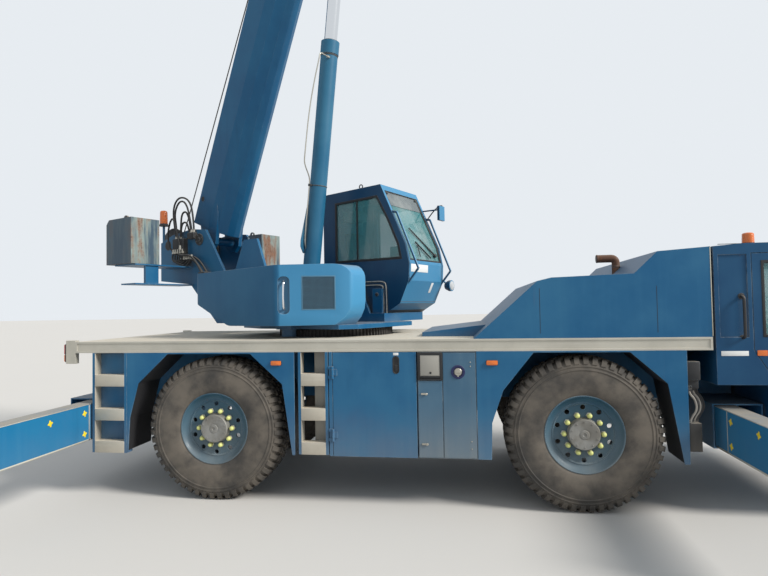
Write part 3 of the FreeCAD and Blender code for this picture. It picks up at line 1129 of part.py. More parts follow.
def boom_base():
    """Base section with foot lugs, front collar and cylinder cheeks."""
    foot = [(-110, -110), (-155, 0), (-110, 110), (0, 155), (400, BOOM_BACK - 10), (640, BOOM_BACK - 10),
            (640, 70), (400, -60), (0, -155)]
    low = BOOM_BELLY - EYE_DROP
    cheek = [(-520, BOOM_BELLY + 48), (-95, low - 40), (-40, low - 90), (40, low - 90), (95, low - 40),
             (420, BOOM_BELLY + 48)]
    parts = [boom_tube(0, BOOM_START, BASE_END)]
    for side in (-1, 1):
        y0, y1 = sorted((side * (BOOM_HALF_W - 70), side * (BOOM_HALF_W - BOOM_WALL)))
        parts.append(side_prism(foot, y0, y1))
        y0, y1 = sorted((side * CHEEK_IN_Y, side * (CHEEK_IN_Y + CHEEK_T)))
        parts.append(side_prism([(EYE_PLACE + x, z) for x, z in cheek], y0, y1))
    return to_boom(join(parts).cut(rod((0, 0, 0), Y_AXIS, FOOT_PIN_R + FIT_CLEAR, 800)))


def boom_section(step):
    """Inner section, reaching past the one around it."""
    return to_boom(boom_tube(step, INNER_START + 60 * step, BASE_END + step * SECTION_STEP))


def sheave(centre):
    """Grooved rope wheel on a crosswise axis."""
    half = SHEAVE_W / 2
    side = [(0, -half), (SHEAVE_R, -half), (SHEAVE_R, -ROPE_R - 5), (GROOVE_R, -ROPE_R - 1)]
    return faceted(side + [(r, -a) for r, a in side[::-1]], centre, Y_AXIS, SHEAVE_SIDES)


# Head plates ahead of the innermost section's end: columns are x from that end, z
HEAD_SIDE = [(-300, 75), (-300, 290), (15, 290), (60, 330), (420, 330), (480, 250), (520, -400), (460, -520),
             (380, -520), (60, -90), (15, -60), (15, 75)]
HEAD_TOP = (350.0, 300.0)    # axis of the upper wheel
HEAD_TOP_R = 150.0


def boom_head():
    """Head of the innermost section: side plates, rope wheels and their shafts."""
    half = BOOM_HALF_W - INNER_SECTIONS * BOOM_NEST - BOOM_WALL
    outline = [(SECTION_END + x, z) for x, z in HEAD_SIDE]
    top = (SECTION_END + HEAD_TOP[0], 0, HEAD_TOP[1])
    low = (HEAD_AXIS_X, 0, -HEAD_AXIS_DROP)
    parts = []
    for side in (-1, 1):
        y0, y1 = sorted((side * half, side * (half - 25)))
        parts.append(side_prism(outline, y0, y1))
    for axis, radius in ((low, 40), (top, 35)):
        parts.append(strut((axis[0], -half, axis[2]), (axis[0], half, axis[2]), radius, 12))
    parts += [sheave((low[0], y, low[2])) for y in (-SHEAVE_Y, SHEAVE_Y)]
    parts.append(strut((top[0], -30, top[2]), (top[0], 30, top[2]), HEAD_TOP_R, 24))
    parts.append(block(SECTION_END + 220, SECTION_END + 260, -half, half, -150, 320))
    return to_boom(join(parts))


# Plates of the hook block, seen from the side: columns are x, z from its wheels' axis
HOOK_SIDE = [(-120, 230), (-215, 70), (-215, -70), (-60, -240), (60, -240), (215, -70), (215, 70), (120, 230)]
HOOK_PLATE_Y = SHEAVE_Y + 50.0
HOOK_AXIS_DROP = 410.0      # from the wheels' axis to the middle of the hook
HOOK_OUT_R = 117.0
HOOK_IN_R = 55.0
HOOK_HALF_T = 28.0


def head_axis():
    """Place of the head's lower axis, in the turntable's side view."""
    luff = math.radians(LUFF_REST)
    x = FOOT_PIN_X + HEAD_AXIS_X * math.cos(luff) + HEAD_AXIS_DROP * math.sin(luff)
    z = FOOT_PIN_Z + HEAD_AXIS_X * math.sin(luff) - HEAD_AXIS_DROP * math.cos(luff)
    return x, z


def hook_block():
    """Hook block hanging plumb under the head."""
    x, z = head_axis()
    z -= HOOK_DROP
    plate = [(x + a, z + h) for a, h in HOOK_SIDE]
    parts = [side_prism(plate, y - 12, y + 12) for y in (-HOOK_PLATE_Y, HOOK_PLATE_Y)]
    parts += [sheave((x, y, z)) for y in (-SHEAVE_Y, SHEAVE_Y)]
    parts.append(strut((x, -HOOK_PLATE_Y, z), (x, HOOK_PLATE_Y, z), 35, 12))
    parts.append(block(x - 55, x + 55, -HOOK_PLATE_Y, HOOK_PLATE_Y, z - 235, z - 195))
    middle = z - HOOK_AXIS_DROP
    parts.append(strut((x, 0, z - 200), (x, 0, middle + HOOK_IN_R + 12), 32, 12))
    bow = faceted([(HOOK_IN_R, -HOOK_HALF_T), (HOOK_OUT_R, -HOOK_HALF_T), (HOOK_OUT_R, HOOK_HALF_T),
                   (HOOK_IN_R, HOOK_HALF_T)], (x, 0, middle), Y_AXIS, 24)
    throat = block(x + 20, x + HOOK_OUT_R + 10, -HOOK_HALF_T - 1, HOOK_HALF_T + 1, middle - 5, middle + 88)
    parts.append(bow.cut(throat))
    return to_upper(join(parts))


def rope_falls():
    """Falls of rope from the head's wheels round those of the hook block."""
    x, z = head_axis()
    falls = []
    for y in (-SHEAVE_Y, SHEAVE_Y):
        half = SHEAVE_SIDES // 2
        arc = [math.pi * count / half for count in range(half + 1)]
        over = [(x + ROPE_REACH * math.cos(t), y, z + ROPE_REACH * math.sin(t)) for t in arc]
        under = [(2 * x - px, py, 2 * z - HOOK_DROP - pz) for px, py, pz in over]
        loop = over + under + over[:1]
        falls.append(bent_bar(loop, ROPE_R, ROPE_SIDES))
    return to_upper(Part.Compound(falls))


def build():
    """Write every piece."""
    pieces = {
        "chassis_frame": chassis_frame(),
        "deck": deck(),
        "fenders": fenders(),
        "side_panels": side_panels(),
        "access_ladders": access_ladders(),
        "tool_locker": locker(),
        "tool_locker_door": locker_door(),
        "service_box": service_box(),
        "side_tank_left": side_tank_left(),
        "engine_hood": engine_hood(),
        "exhaust": exhaust(),
        "engine_block": engine_block(),
        "driver_cab_shell": driver_cab_shell(),
        "driver_cab_glass": driver_cab_glass(),
        "driver_cab_interior": driver_cab_interior(),
        "driver_door_right": driver_cab_door(),
        "driver_door_left": mirror_y(driver_cab_door()),
        "front_bumper": front_bumper(),
        "lamps": lamps(),
        "driver_beacon": beacon(CAB_REAR_X + 403, -BODY_HALF_W + 230, CAB_FLOOR_Z + 1280, 118),
        "slew_ring": slew_ring(),
        "turntable_frame": turntable_frame(),
        "side_housing": side_housing(),
        "counterweights": counterweights(),
        "winch": winch(),
        "crane_cab_shell": upper_cab_shell(),
        "crane_cab_glass": upper_cab_glass(),
        "crane_cab_interior": upper_cab_interior(),
        "crane_cab_door": upper_cab_door(),
        "lift_barrel": lift_barrel(),
        "lift_rod": lift_rod(),
        "boom_base": boom_base(),
        "boom_section_1": boom_section(1),
        "boom_section_2": boom_section(2),
        "boom_section_3": boom_section(3),
        "boom_head": boom_head(),
        "hook_block": hook_block(),
        "rope_falls": rope_falls(),
    }
    for place, axle_x in (("rear", REAR_AXLE_X), ("front", FRONT_AXLE_X)):
        pieces["axle_" + place] = axle(axle_x)
        for name, maker in (("knuckle", knuckle), ("rim", rim), ("tyre", tyre)):
            shape = maker(axle_x)
            pieces[name + "_" + place + "_right"] = shape
            pieces[name + "_" + place + "_left"] = mirror_y(shape)
    for place, face_x, side in (("rear", REAR_BEAM_X, -1), ("front", FRONT_BEAM_X, 1)):
        step = side * (BEAM_W + 2 * RUN_CLEAR + BOX_WALL)
        pieces["outrigger_beam_" + place + "_right"] = beam(face_x, side)
        pieces["outrigger_jack_" + place + "_right"] = jack(face_x, side)
        pieces["outrigger_beam_" + place + "_left"] = mirror_y(beam(face_x + step, side))
        pieces["outrigger_jack_" + place + "_left"] = mirror_y(jack(face_x + step, side))
    for name, shape in pieces.items():
        save(name, shape)
    print(len(pieces), "pieces")


build()
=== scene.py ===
"""Looks of a two-axle mobile crane, dressed around its fixed frame.

Metres. X points to the front of the carrier, Y to its left, Z up, and the origin is on the ground under the
slewing axis. The upper works, the boom and the lift cylinder are dressed in their own axes, read from the frame.
"""

import json
import logging
import math
from dataclasses import dataclass
from enum import Enum
from typing import Any, Dict, Iterable, List, Mapping, Optional, Sequence, Tuple, Union

import bmesh
import bpy
from mathutils import Matrix, Vector


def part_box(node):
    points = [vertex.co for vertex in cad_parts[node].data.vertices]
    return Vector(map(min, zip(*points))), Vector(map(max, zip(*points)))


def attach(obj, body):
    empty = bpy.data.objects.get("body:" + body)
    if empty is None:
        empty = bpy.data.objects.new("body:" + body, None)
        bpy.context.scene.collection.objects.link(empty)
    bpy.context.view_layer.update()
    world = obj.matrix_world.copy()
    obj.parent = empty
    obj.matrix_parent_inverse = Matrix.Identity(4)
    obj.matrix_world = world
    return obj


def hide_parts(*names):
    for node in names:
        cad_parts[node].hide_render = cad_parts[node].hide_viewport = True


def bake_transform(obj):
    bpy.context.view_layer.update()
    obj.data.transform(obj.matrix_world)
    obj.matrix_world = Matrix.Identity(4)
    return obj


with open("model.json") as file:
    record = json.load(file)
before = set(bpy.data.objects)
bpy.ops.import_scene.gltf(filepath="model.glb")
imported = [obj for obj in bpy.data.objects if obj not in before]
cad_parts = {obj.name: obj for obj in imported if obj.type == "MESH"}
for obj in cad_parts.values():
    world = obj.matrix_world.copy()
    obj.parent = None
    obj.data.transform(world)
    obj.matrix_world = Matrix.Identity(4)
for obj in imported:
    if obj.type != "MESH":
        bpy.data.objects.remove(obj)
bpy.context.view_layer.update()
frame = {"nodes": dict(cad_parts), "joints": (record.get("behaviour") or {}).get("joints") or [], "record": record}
LOG = logging.getLogger("crane")
JOINTS = {joint["name"]: joint for joint in frame["joints"]}

Colour = Tuple[float, float, float]
Point = Sequence[float]


class Side(Enum):
    """Side of the carrier: the sign of Y."""

    RIGHT = -1
    LEFT = 1


class Socket:
    """A shader socket that takes part in arithmetic."""

    def __init__(self, shader: "Shader", source: bpy.types.NodeSocket) -> None:
        """Keep the socket and the shader that it belongs to."""
        self.shader = shader
        self.source = source

    def _math(self, operation: str, *values: Any) -> "Socket":
        """Add a Math node for one operation."""
        return self.shader.node("ShaderNodeMath", {"operation": operation}, dict(enumerate(values)))

    def __add__(self, other: Any) -> "Socket":
        """Sum."""
        return self._math("ADD", self, other)

    def __radd__(self, other: Any) -> "Socket":
        """Sum, number first."""
        return self._math("ADD", other, self)

    def __sub__(self, other: Any) -> "Socket":
        """Difference."""
        return self._math("SUBTRACT", self, other)

    def __rsub__(self, other: Any) -> "Socket":
        """Difference, number first."""
        return self._math("SUBTRACT", other, self)

    def __mul__(self, other: Any) -> "Socket":
        """Product."""
        return self._math("MULTIPLY", self, other)

    def __rmul__(self, other: Any) -> "Socket":
        """Product, number first."""
        return self._math("MULTIPLY", other, self)

    def __truediv__(self, other: Any) -> "Socket":
        """Quotient."""
        return self._math("DIVIDE", self, other)

    def __rtruediv__(self, other: Any) -> "Socket":
        """Quotient, number first."""
        return self._math("DIVIDE", other, self)

    def __or__(self, other: Any) -> "Socket":
        """Larger of two."""
        return self._math("MAXIMUM", self, other)

    def __ror__(self, other: Any) -> "Socket":
        """Larger of two, number first."""
        return self._math("MAXIMUM", other, self)

    def __and__(self, other: Any) -> "Socket":
        """Smaller of two."""
        return self._math("MINIMUM", self, other)

    def __rand__(self, other: Any) -> "Socket":
        """Smaller of two, number first."""
        return self._math("MINIMUM", other, self)

    def sine(self) -> "Socket":
        """Sine of an angle in radians."""
        return self._math("SINE", self)

    def size(self) -> "Socket":
        """Absolute value."""
        return self._math("ABSOLUTE", self)


class Shader:
    """Node tree of one finish."""

    def __init__(self, name: str) -> None:
        """Start a material with a Principled shader."""
        self.material = bpy.data.materials.new(name)
        self.material.use_nodes = True
        self.tree = self.material.node_tree
        self.body = self.tree.nodes["Principled BSDF"]

    def node(self, kind: str, settings: Optional[Mapping[str, Any]] = None,
             inputs: Optional[Mapping[Any, Any]] = None, output: Union[int, str] = 0) -> Socket:
        """Add one node.

        Args:
            kind: Blender's type name of the node.
            settings: its own settings, set first; stops are a ramp's (place, colour) pairs.
            inputs: the value or link of each socket, by name or number.
            output: the socket to hand back.

        Returns:
            The chosen output.
        """
        made = self.tree.nodes.new(kind)
        for key, value in (settings or {}).items():
            if key == "stops":
                self._stops(made.color_ramp, value)
            else:
                setattr(made, key, value)
        for key, value in (inputs or {}).items():
            self._put(made.inputs[key], value)
        return Socket(self, made.outputs[output])

    def _stops(self, ramp: bpy.types.ColorRamp, stops: Sequence[Tuple[float, Colour]]) -> None:
        """Fill a colour ramp."""
        while len(ramp.elements) < len(stops):
            ramp.elements.new(0.5)
        for element, (place, colour) in zip(ramp.elements, stops):
            element.position = place
            element.color = (*colour, 1.0)

    def _put(self, target: bpy.types.NodeSocket, value: Any) -> None:
        """Link a socket or set its value."""
        if isinstance(value, Socket):
            self.tree.links.new(value.source, target)
        elif isinstance(value, (tuple, list)) and len(value) == 3 and target.type == "RGBA":
            target.default_value = (*value, 1.0)
        else:
            target.default_value = value

    def finish(self, **sockets: Any) -> bpy.types.Material:
        """Feed the Principled shader.

        Args:
            sockets: values or links, named as the sockets with underscores for blanks.

        Returns:
            The finished material.
        """
        for name, value in sockets.items():
            self._put(self.body.inputs[name.replace("_", " ")], value)
        return self.material

    def place(self) -> Socket:
        """Place on the piece at rest, in metres."""
        return self.node("ShaderNodeTexCoord", output="Object")

    def axis(self, vector: Socket, name: str) -> Socket:
        """One part of a vector: X, Y or Z."""
        return self.node("ShaderNodeSeparateXYZ", inputs={0: vector}, output=name)

    def scaled(self, vector: Socket, factors: Point) -> Socket:
        """Stretch a place along its axes."""
        return self.node("ShaderNodeVectorMath", {"operation": "MULTIPLY"}, {0: vector, 1: tuple(factors)})

    def noise(self, vector: Socket, scale: float, detail: float = 3.0, rough: float = 0.55) -> Socket:
        """Fractal noise from 0 to 1."""
        return self.node("ShaderNodeTexNoise", inputs={"Vector": vector, "Scale": scale, "Detail": detail,
                                                       "Roughness": rough})

    def cells(self, vector: Socket, scale: float) -> Socket:
        """Distance to the nearest cell centre."""
        return self.node("ShaderNodeTexVoronoi", inputs={"Vector": vector, "Scale": scale})

    def window(self, value: Socket, low: float, high: float) -> Socket:
        """Smooth step from 0 at low to 1 at high."""
        return self.node("ShaderNodeMapRange", {"interpolation_type": "SMOOTHSTEP", "clamp": True},
                         {"Value": value, "From Min": low, "From Max": high})

    def mix(self, factor: Any, first: Any, second: Any) -> Socket:
        """Blend two colours."""
        return self.node("ShaderNodeMix", {"data_type": "RGBA"}, {0: factor, 6: first, 7: second}, 2)

    def facing(self, axis: str = "Z") -> Socket:
        """How far the surface faces one way, at rest."""
        return self.axis(self.node("ShaderNodeTexCoord", output="Normal"), axis)

    def rounded(self, radius: float) -> Socket:
        """Normal with the edges rounded off."""
        return self.node("ShaderNodeBevel", {"samples": 4}, {"Radius": radius})

    def edges(self, radius: float) -> Socket:
        """Mask of the edges, from 0 on flats to 1."""
        flat = self.node("ShaderNodeNewGeometry", output="Normal")
        same = self.node("ShaderNodeVectorMath", {"operation": "DOT_PRODUCT"},
                         {0: self.rounded(radius), 1: flat}, "Value")
        return self.window(1.0 - same, 0.01, 0.12)

    def hollows(self, reach: float) -> Socket:
        """Mask of the corners where dirt gathers."""
        open_sky = self.node("ShaderNodeAmbientOcclusion", {"samples": 4}, {"Distance": reach}, "AO")
        return self.window(1.0 - open_sky, 0.25, 0.85)

    def bump(self, height: Socket, strength: float, depth: float, normal: Optional[Socket] = None) -> Socket:
        """Relief of a height in metres times depth."""
        inputs = {"Height": height, "Strength": strength, "Distance": depth}
        if normal is not None:
            inputs["Normal"] = normal
        return self.node("ShaderNodeBump", inputs=inputs)


DUST: Colour = (0.36, 0.32, 0.26)
PALE_DUST: Colour = (0.68, 0.60, 0.48)
# Lighter blue for painted sunlight on the faces that look forward.
PAINTED_SUNLIT_BLUE: Colour = (0.06, 0.26, 0.46)
RUST: Colour = (0.20, 0.075, 0.03)
DARK_RUST: Colour = (0.07, 0.03, 0.02)
MUD: Colour = (0.26, 0.22, 0.175)


@dataclass(frozen=True)
class Enamel:
    """Weathered paint on steel.

    Attributes:
        name: material name.
        colour: paint in good state.
        faded: chalky paint where sun and washing took its depth.
        dust: how much lies on faces that look up.
        rust: share of the surface with rust runs.
        rough: roughness of clean paint.
        splash: how much mud reaches the low parts.
        fade: how far the fading goes.
        shine: strength of its reflections.
        painted_sunlight: how strongly painted sunlight lightens the faces that look forward, where the key light falls.
    """

    name: str
    colour: Colour
    faded: Colour
    dust: float = 0.6
    rust: float = 0.15
    rough: float = 0.36
    splash: float = 0.32
    fade: float = 0.6
    shine: float = 0.28
    painted_sunlight: float = 0.0

    def material(self) -> bpy.types.Material:
        """Build the material."""
        shader = Shader(self.name)
        place = shader.place()
        broad = shader.noise(place, 0.8, 4.0)
        cloud = shader.noise(place, 3.1, 5.0, 0.6)
        fine = shader.noise(place, 38.0, 4.0, 0.65)
        runs = shader.noise(shader.scaled(place, (9.0, 9.0, 0.55)), 1.0, 4.0)
        height = shader.axis(place, "Z")
        edge = shader.edges(0.008)
        corner = shader.hollows(0.18)
        fading = shader.window(broad * 0.6 + cloud * 0.4, 0.36, 0.66) * self.fade
        colour = shader.mix(fading, self.colour, self.faded)
        colour = shader.mix(shader.window(runs, 0.5, 0.78) * 0.3, colour, self.faded)
        colour = shader.mix(shader.window(runs, 0.45, 0.2) * 0.25, colour, tuple(c * 0.6 for c in self.colour))
        # Painted sunlight: faces that look forward at rest are mixed towards a lighter blue, as if the key light fell
        # on them.
        if self.painted_sunlight:
            front = shader.window(shader.facing("X"), 0.05, 0.55) * self.painted_sunlight
            colour = shader.mix(front, colour, PAINTED_SUNLIT_BLUE)
        worn = edge * shader.window(cloud + fine * 0.5, 0.62, 0.9)
        colour = shader.mix(worn * 0.55, colour, (0.36, 0.42, 0.45))
        spots = shader.window(shader.noise(place, 21.0, 3.0), 0.74 - self.rust * 0.14, 0.84 - self.rust * 0.14)
        streaks = shader.window(shader.noise(shader.scaled(place, (16.0, 16.0, 1.1)), 1.0, 3.0), 0.66, 0.86)
        rusty = (spots | streaks * self.rust * 1.6) & 1.0
        colour = shader.mix(rusty * min(self.rust * 3.0, 0.9), colour, RUST)
        low = shader.window(height + cloud * 0.5, 1.35, 0.55) * self.splash
        on_top = shader.window(shader.facing(), 0.45, 0.95) * (0.35 + cloud) * self.dust
        dirt = ((low * 0.7 * (0.5 + runs)) | on_top | corner * 0.28) & 0.92
        colour = shader.mix(dirt, colour, DUST)
        rough = self.rough + fine * 0.12 + dirt * 0.42 + fading * 0.1
        relief = fine * 0.3 + rusty * 0.8 + shader.noise(place, 1.7, 2.0) * 6.0
        normal = shader.bump(relief, 0.35, 0.0016, shader.rounded(0.006))
        return shader.finish(Base_Color=colour, Roughness=rough, Normal=normal, Coat_Weight=(1.0 - dirt) * 0.08,
                             Coat_Roughness=0.2, Specular_IOR_Level=self.shine)


@dataclass(frozen=True)
class Metal:
    """Bare or oily metal.

    Attributes:
        name: material name.
        colour: clean metal.
        grime: what lies on it.
        cover: how much of it is grimy.
        rough: roughness where clean.
        grain: scale of the scratches across X, Y and Z.
        metallic: how metallic the clean parts are.
    """

    name: str
    colour: Colour
    grime: Colour
    cover: float
    rough: float
    grain: Point = (2.0, 2.0, 60.0)
    metallic: float = 1.0

    def material(self) -> bpy.types.Material:
        """Build the material."""
        shader = Shader(self.name)
        place = shader.place()
        cloud = shader.noise(place, 5.0, 5.0, 0.6)
        scratch = shader.noise(shader.scaled(place, self.grain), 6.0, 3.0)
        corner = shader.hollows(0.06)
        dirty = (shader.window(cloud, 0.62 - self.cover * 0.5, 0.9 - self.cover * 0.5) * self.cover
                 | corner * 0.6) & 1.0
        colour = shader.mix(dirty, shader.mix(scratch * 0.3, self.colour, self.grime), self.grime)
        rough = self.rough + scratch * 0.12 + dirty * 0.4
        normal = shader.bump(scratch + cloud, 0.2, 0.0006, shader.rounded(0.003))
        return shader.finish(Base_Color=colour, Roughness=rough, Metallic=(1.0 - dirty) * self.metallic,
                             Normal=normal)


@dataclass(frozen=True)
class Alloy:
    """Deck sections of dull aluminium: ribbed where they look up, smooth on the edge.

    Attributes:
        name: material name.
        colour: oxidised aluminium.
        pitch: distance between ribs.
    """

    name: str
    colour: Colour = (0.53, 0.51, 0.445)
    pitch: float = 0.035

    def material(self) -> bpy.types.Material:
        """Build the material."""
        shader = Shader(self.name)
        place = shader.place()
        cloud = shader.noise(place, 2.6, 5.0, 0.62)
        fine = shader.noise(place, 55.0, 4.0)
        smear = shader.noise(shader.scaled(place, (0.8, 8.0, 8.0)), 2.0, 4.0)
        up = shader.window(shader.facing(), 0.6, 0.9)
        wave = (shader.axis(place, "Y") * (2.0 * math.pi / self.pitch)).sine()
        rib = shader.window(wave, 0.1, 0.7) * up
        worn = shader.edges(0.006)
        colour = shader.mix(shader.window(cloud, 0.35, 0.75) * 0.5, self.colour, tuple(c * 0.75 for c in self.colour))
        colour = shader.mix(shader.window(smear, 0.55, 0.8) * 0.35, colour, (0.62, 0.60, 0.54))
        colour = shader.mix(up * (0.35 + cloud * 0.7) * (1.0 - rib * 0.6), colour, PALE_DUST)
        colour = shader.mix(shader.window(fine, 0.66, 0.8) * 0.25, colour, (0.14, 0.13, 0.12))
        colour = shader.mix(worn * 0.5, colour, (0.6, 0.59, 0.55))
        normal = shader.bump(rib * 2.5 + fine * 0.3, 0.6, 0.0015, shader.rounded(0.004))
        return shader.finish(Base_Color=colour, Roughness=0.5 + cloud * 0.25 + up * 0.15,
                             Metallic=0.55 - up * 0.4, Normal=normal)


@dataclass(frozen=True)
class Rubber:
    """Tyre rubber with a dusty sidewall.

    Attributes:
        name: material name.
        colour: clean rubber.
        dust: how much dust clings to it.
    """

    name: str
    colour: Colour = (0.028, 0.027, 0.026)
    dust: float = 0.6

    def material(self) -> bpy.types.Material:
        """Build the material."""
        shader = Shader(self.name)
        place = shader.place()
        cloud = shader.noise(place, 3.4, 5.0, 0.6)
        fine = shader.noise(place, 60.0, 4.0, 0.7)
        corner = shader.hollows(0.05)
        sideways = shader.facing("Y").size()
        film = shader.window(cloud, 0.3, 0.72) * self.dust * (0.25 + sideways * 0.75)
        dirt = (film * 0.8 + corner * 0.4 + fine * 0.08) & 0.9
        colour = shader.mix(dirt, self.colour, MUD)
        normal = shader.bump(fine * 0.6 + cloud, 0.3, 0.001, shader.rounded(0.004))
        return shader.finish(Base_Color=colour, Roughness=0.7 + dirt * 0.2, Normal=normal)


@dataclass(frozen=True)
class Plastic:
    """Moulded or rubber-like trim.

    Attributes:
        name: material name.
        colour: base colour.
        rough: roughness where clean.
        dust: how much dust lies on it.
        grain: strength of the moulded grain.
    """

    name: str
    colour: Colour
    rough: float = 0.5
    dust: float = 0.4
    grain: float = 0.4

    def material(self) -> bpy.types.Material:
        """Build the material."""
        shader = Shader(self.name)
        place = shader.place()
        cloud = shader.noise(place, 4.0, 4.0)
        pores = shader.cells(place, 420.0)
        up = shader.window(shader.facing(), 0.2, 0.9)
        dirt = ((up * 0.8 + shader.hollows(0.05) * 0.5) * (0.4 + cloud) * self.dust) & 0.85
        colour = shader.mix(dirt, shader.mix(cloud * 0.3, self.colour, tuple(c * 1.6 for c in self.colour)), DUST)
        normal = shader.bump(pores, self.grain, 0.0004, shader.rounded(0.003))
        return shader.finish(Base_Color=colour, Roughness=self.rough + dirt * 0.3 + cloud * 0.08, Normal=normal)


@dataclass(frozen=True)
class Weave:
    """Woven seat cover.

    Attributes:
        name: material name.
        colour: colour of the yarn.
        pitch: distance between threads.
    """

    name: str
    colour: Colour
    pitch: float = 0.004

    def material(self) -> bpy.types.Material:
        """Build the material."""
        shader = Shader(self.name)
        place = shader.place()
        turn = 2.0 * math.pi / self.pitch
        warp = ((shader.axis(place, "X") + shader.axis(place, "Z")) * turn).sine()
        weft = ((shader.axis(place, "Y") + shader.axis(place, "Z") * 0.5) * turn).sine()
        cloud = shader.noise(place, 7.0, 4.0)
        threads = shader.window(warp * weft, -0.6, 0.6)
        light = tuple(min(1.0, c * 1.9) for c in self.colour)
        colour = shader.mix(threads * 0.6, self.colour, light)
        colour = shader.mix(shader.window(cloud, 0.5, 0.8) * 0.3, colour, DUST)
        normal = shader.bump(threads, 0.5, 0.0008)
        return shader.finish(Base_Color=colour, Roughness=0.82 + cloud * 0.12, Normal=normal)


@dataclass(frozen=True)
class Pane:
    """Window glass with a film of dust.

    Attributes:
        name: material name.
        tint: colour of the glass.
        cover: how opaque the clean pane looks.
    """

    name: str
    tint: Colour = (0.09, 0.32, 0.34)
    cover: float = 0.42

    def material(self) -> bpy.types.Material:
        """Build the material."""
        shader = Shader(self.name)
        place = shader.place()
        cloud = shader.noise(place, 2.2, 5.0, 0.6)
        film = shader.window(cloud, 0.4, 0.8)
        material = shader.finish(Base_Color=shader.mix(film * 0.5, self.tint, (0.42, 0.44, 0.42)),
                                 Roughness=0.04 + film * 0.14, Alpha=self.cover + film * 0.16,
                                 Specular_IOR_Level=0.9, IOR=1.5)
        return material


@dataclass(frozen=True)
class Lens:
    """Moulded lamp lens.

    Attributes:
        name: material name.
        colour: colour of the plastic.
        pitch: distance between its ribs.
    """

    name: str
    colour: Colour
    pitch: float = 0.008

    def material(self) -> bpy.types.Material:
        """Build the material."""
        shader = Shader(self.name)
        place = shader.place()
        cloud = shader.noise(place, 12.0, 3.0)
        ribs = (shader.axis(place, "Z") * (2.0 * math.pi / self.pitch)).sine()
        colour = shader.mix(shader.window(cloud, 0.45, 0.8) * 0.35, self.colour, tuple(c * 0.55 for c in self.colour))
        normal = shader.bump(ribs, 0.4, 0.0008, shader.rounded(0.002))
        return shader.finish(Base_Color=colour, Roughness=0.16 + cloud * 0.15, Normal=normal, Coat_Weight=0.5,
                             Coat_Roughness=0.05)


@dataclass(frozen=True)
class Iron:
    """Painted cast ballast with rust that runs from its top edge.

    Attributes:
        name: material name.
        colour: what is left of the paint.
        chalk_and_sunlit_tone: washed-out paint beside the rust, also used as a painted sunlit tone on the faces that
            look forward.
    """

    name: str
    colour: Colour = (0.028, 0.062, 0.098)
    chalk_and_sunlit_tone: Colour = (0.27, 0.34, 0.31)

    def material(self) -> bpy.types.Material:
        """Build the material."""
        shader = Shader(self.name)
        place = shader.place()
        runs = shader.noise(shader.scaled(place, (7.0, 7.0, 0.9)), 1.0, 5.0, 0.6)
        cloud = shader.noise(place, 4.0, 5.0, 0.65)
        fine = shader.noise(place, 40.0, 4.0)
        edge = shader.edges(0.012)
        # The forward-facing mask puts chalk and rust mostly on faces that look forward: real rust and chalk, and also
        # painted sunlight on the side the key light falls on.
        front = 0.15 + shader.window(shader.facing("X"), 0.2, 0.6) * 0.85
        chalky = shader.window(runs, 0.36, 0.56) * front
        rusty = (shader.window(runs * 0.7 + cloud * 0.3, 0.47, 0.60) * front
                 | edge * shader.window(cloud, 0.4, 0.6)) & 1.0
        colour = shader.mix(chalky * 0.8, self.colour, self.chalk_and_sunlit_tone)
        colour = shader.mix(rusty * 0.85, colour, RUST)
        colour = shader.mix(rusty * shader.window(fine, 0.5, 0.7), colour, DARK_RUST)
        colour = shader.mix(shader.window(shader.facing(), 0.5, 0.9) * 0.5, colour, DUST)
        normal = shader.bump(fine + rusty + cloud * 2.0, 0.5, 0.002, shader.rounded(0.01))
        return shader.finish(Base_Color=colour, Roughness=0.55 + rusty * 0.3, Normal=normal)


@dataclass(frozen=True)
class Strand:
    """Laid wire rope.

    Attributes:
        name: material name.
        pitch: length of one lay along the rope.
    """

    name: str
    pitch: float = 0.03

    def material(self) -> bpy.types.Material:
        """Build the material."""
        shader = Shader(self.name)
        place = shader.place()
        turn = shader.axis(place, "X") * 0.8 + shader.axis(place, "Y") * 0.8 + shader.axis(place, "Z")
        lay = (turn * (2.0 * math.pi / self.pitch)).sine()
        cloud = shader.noise(place, 9.0, 3.0)
        colour = shader.mix(shader.window(lay, -0.6, 0.5), (0.03, 0.028, 0.025), (0.17, 0.155, 0.135))
        normal = shader.bump(lay, 0.8, 0.0015)
        return shader.finish(Base_Color=colour, Roughness=0.45 + cloud * 0.2, Metallic=0.6, Normal=normal)


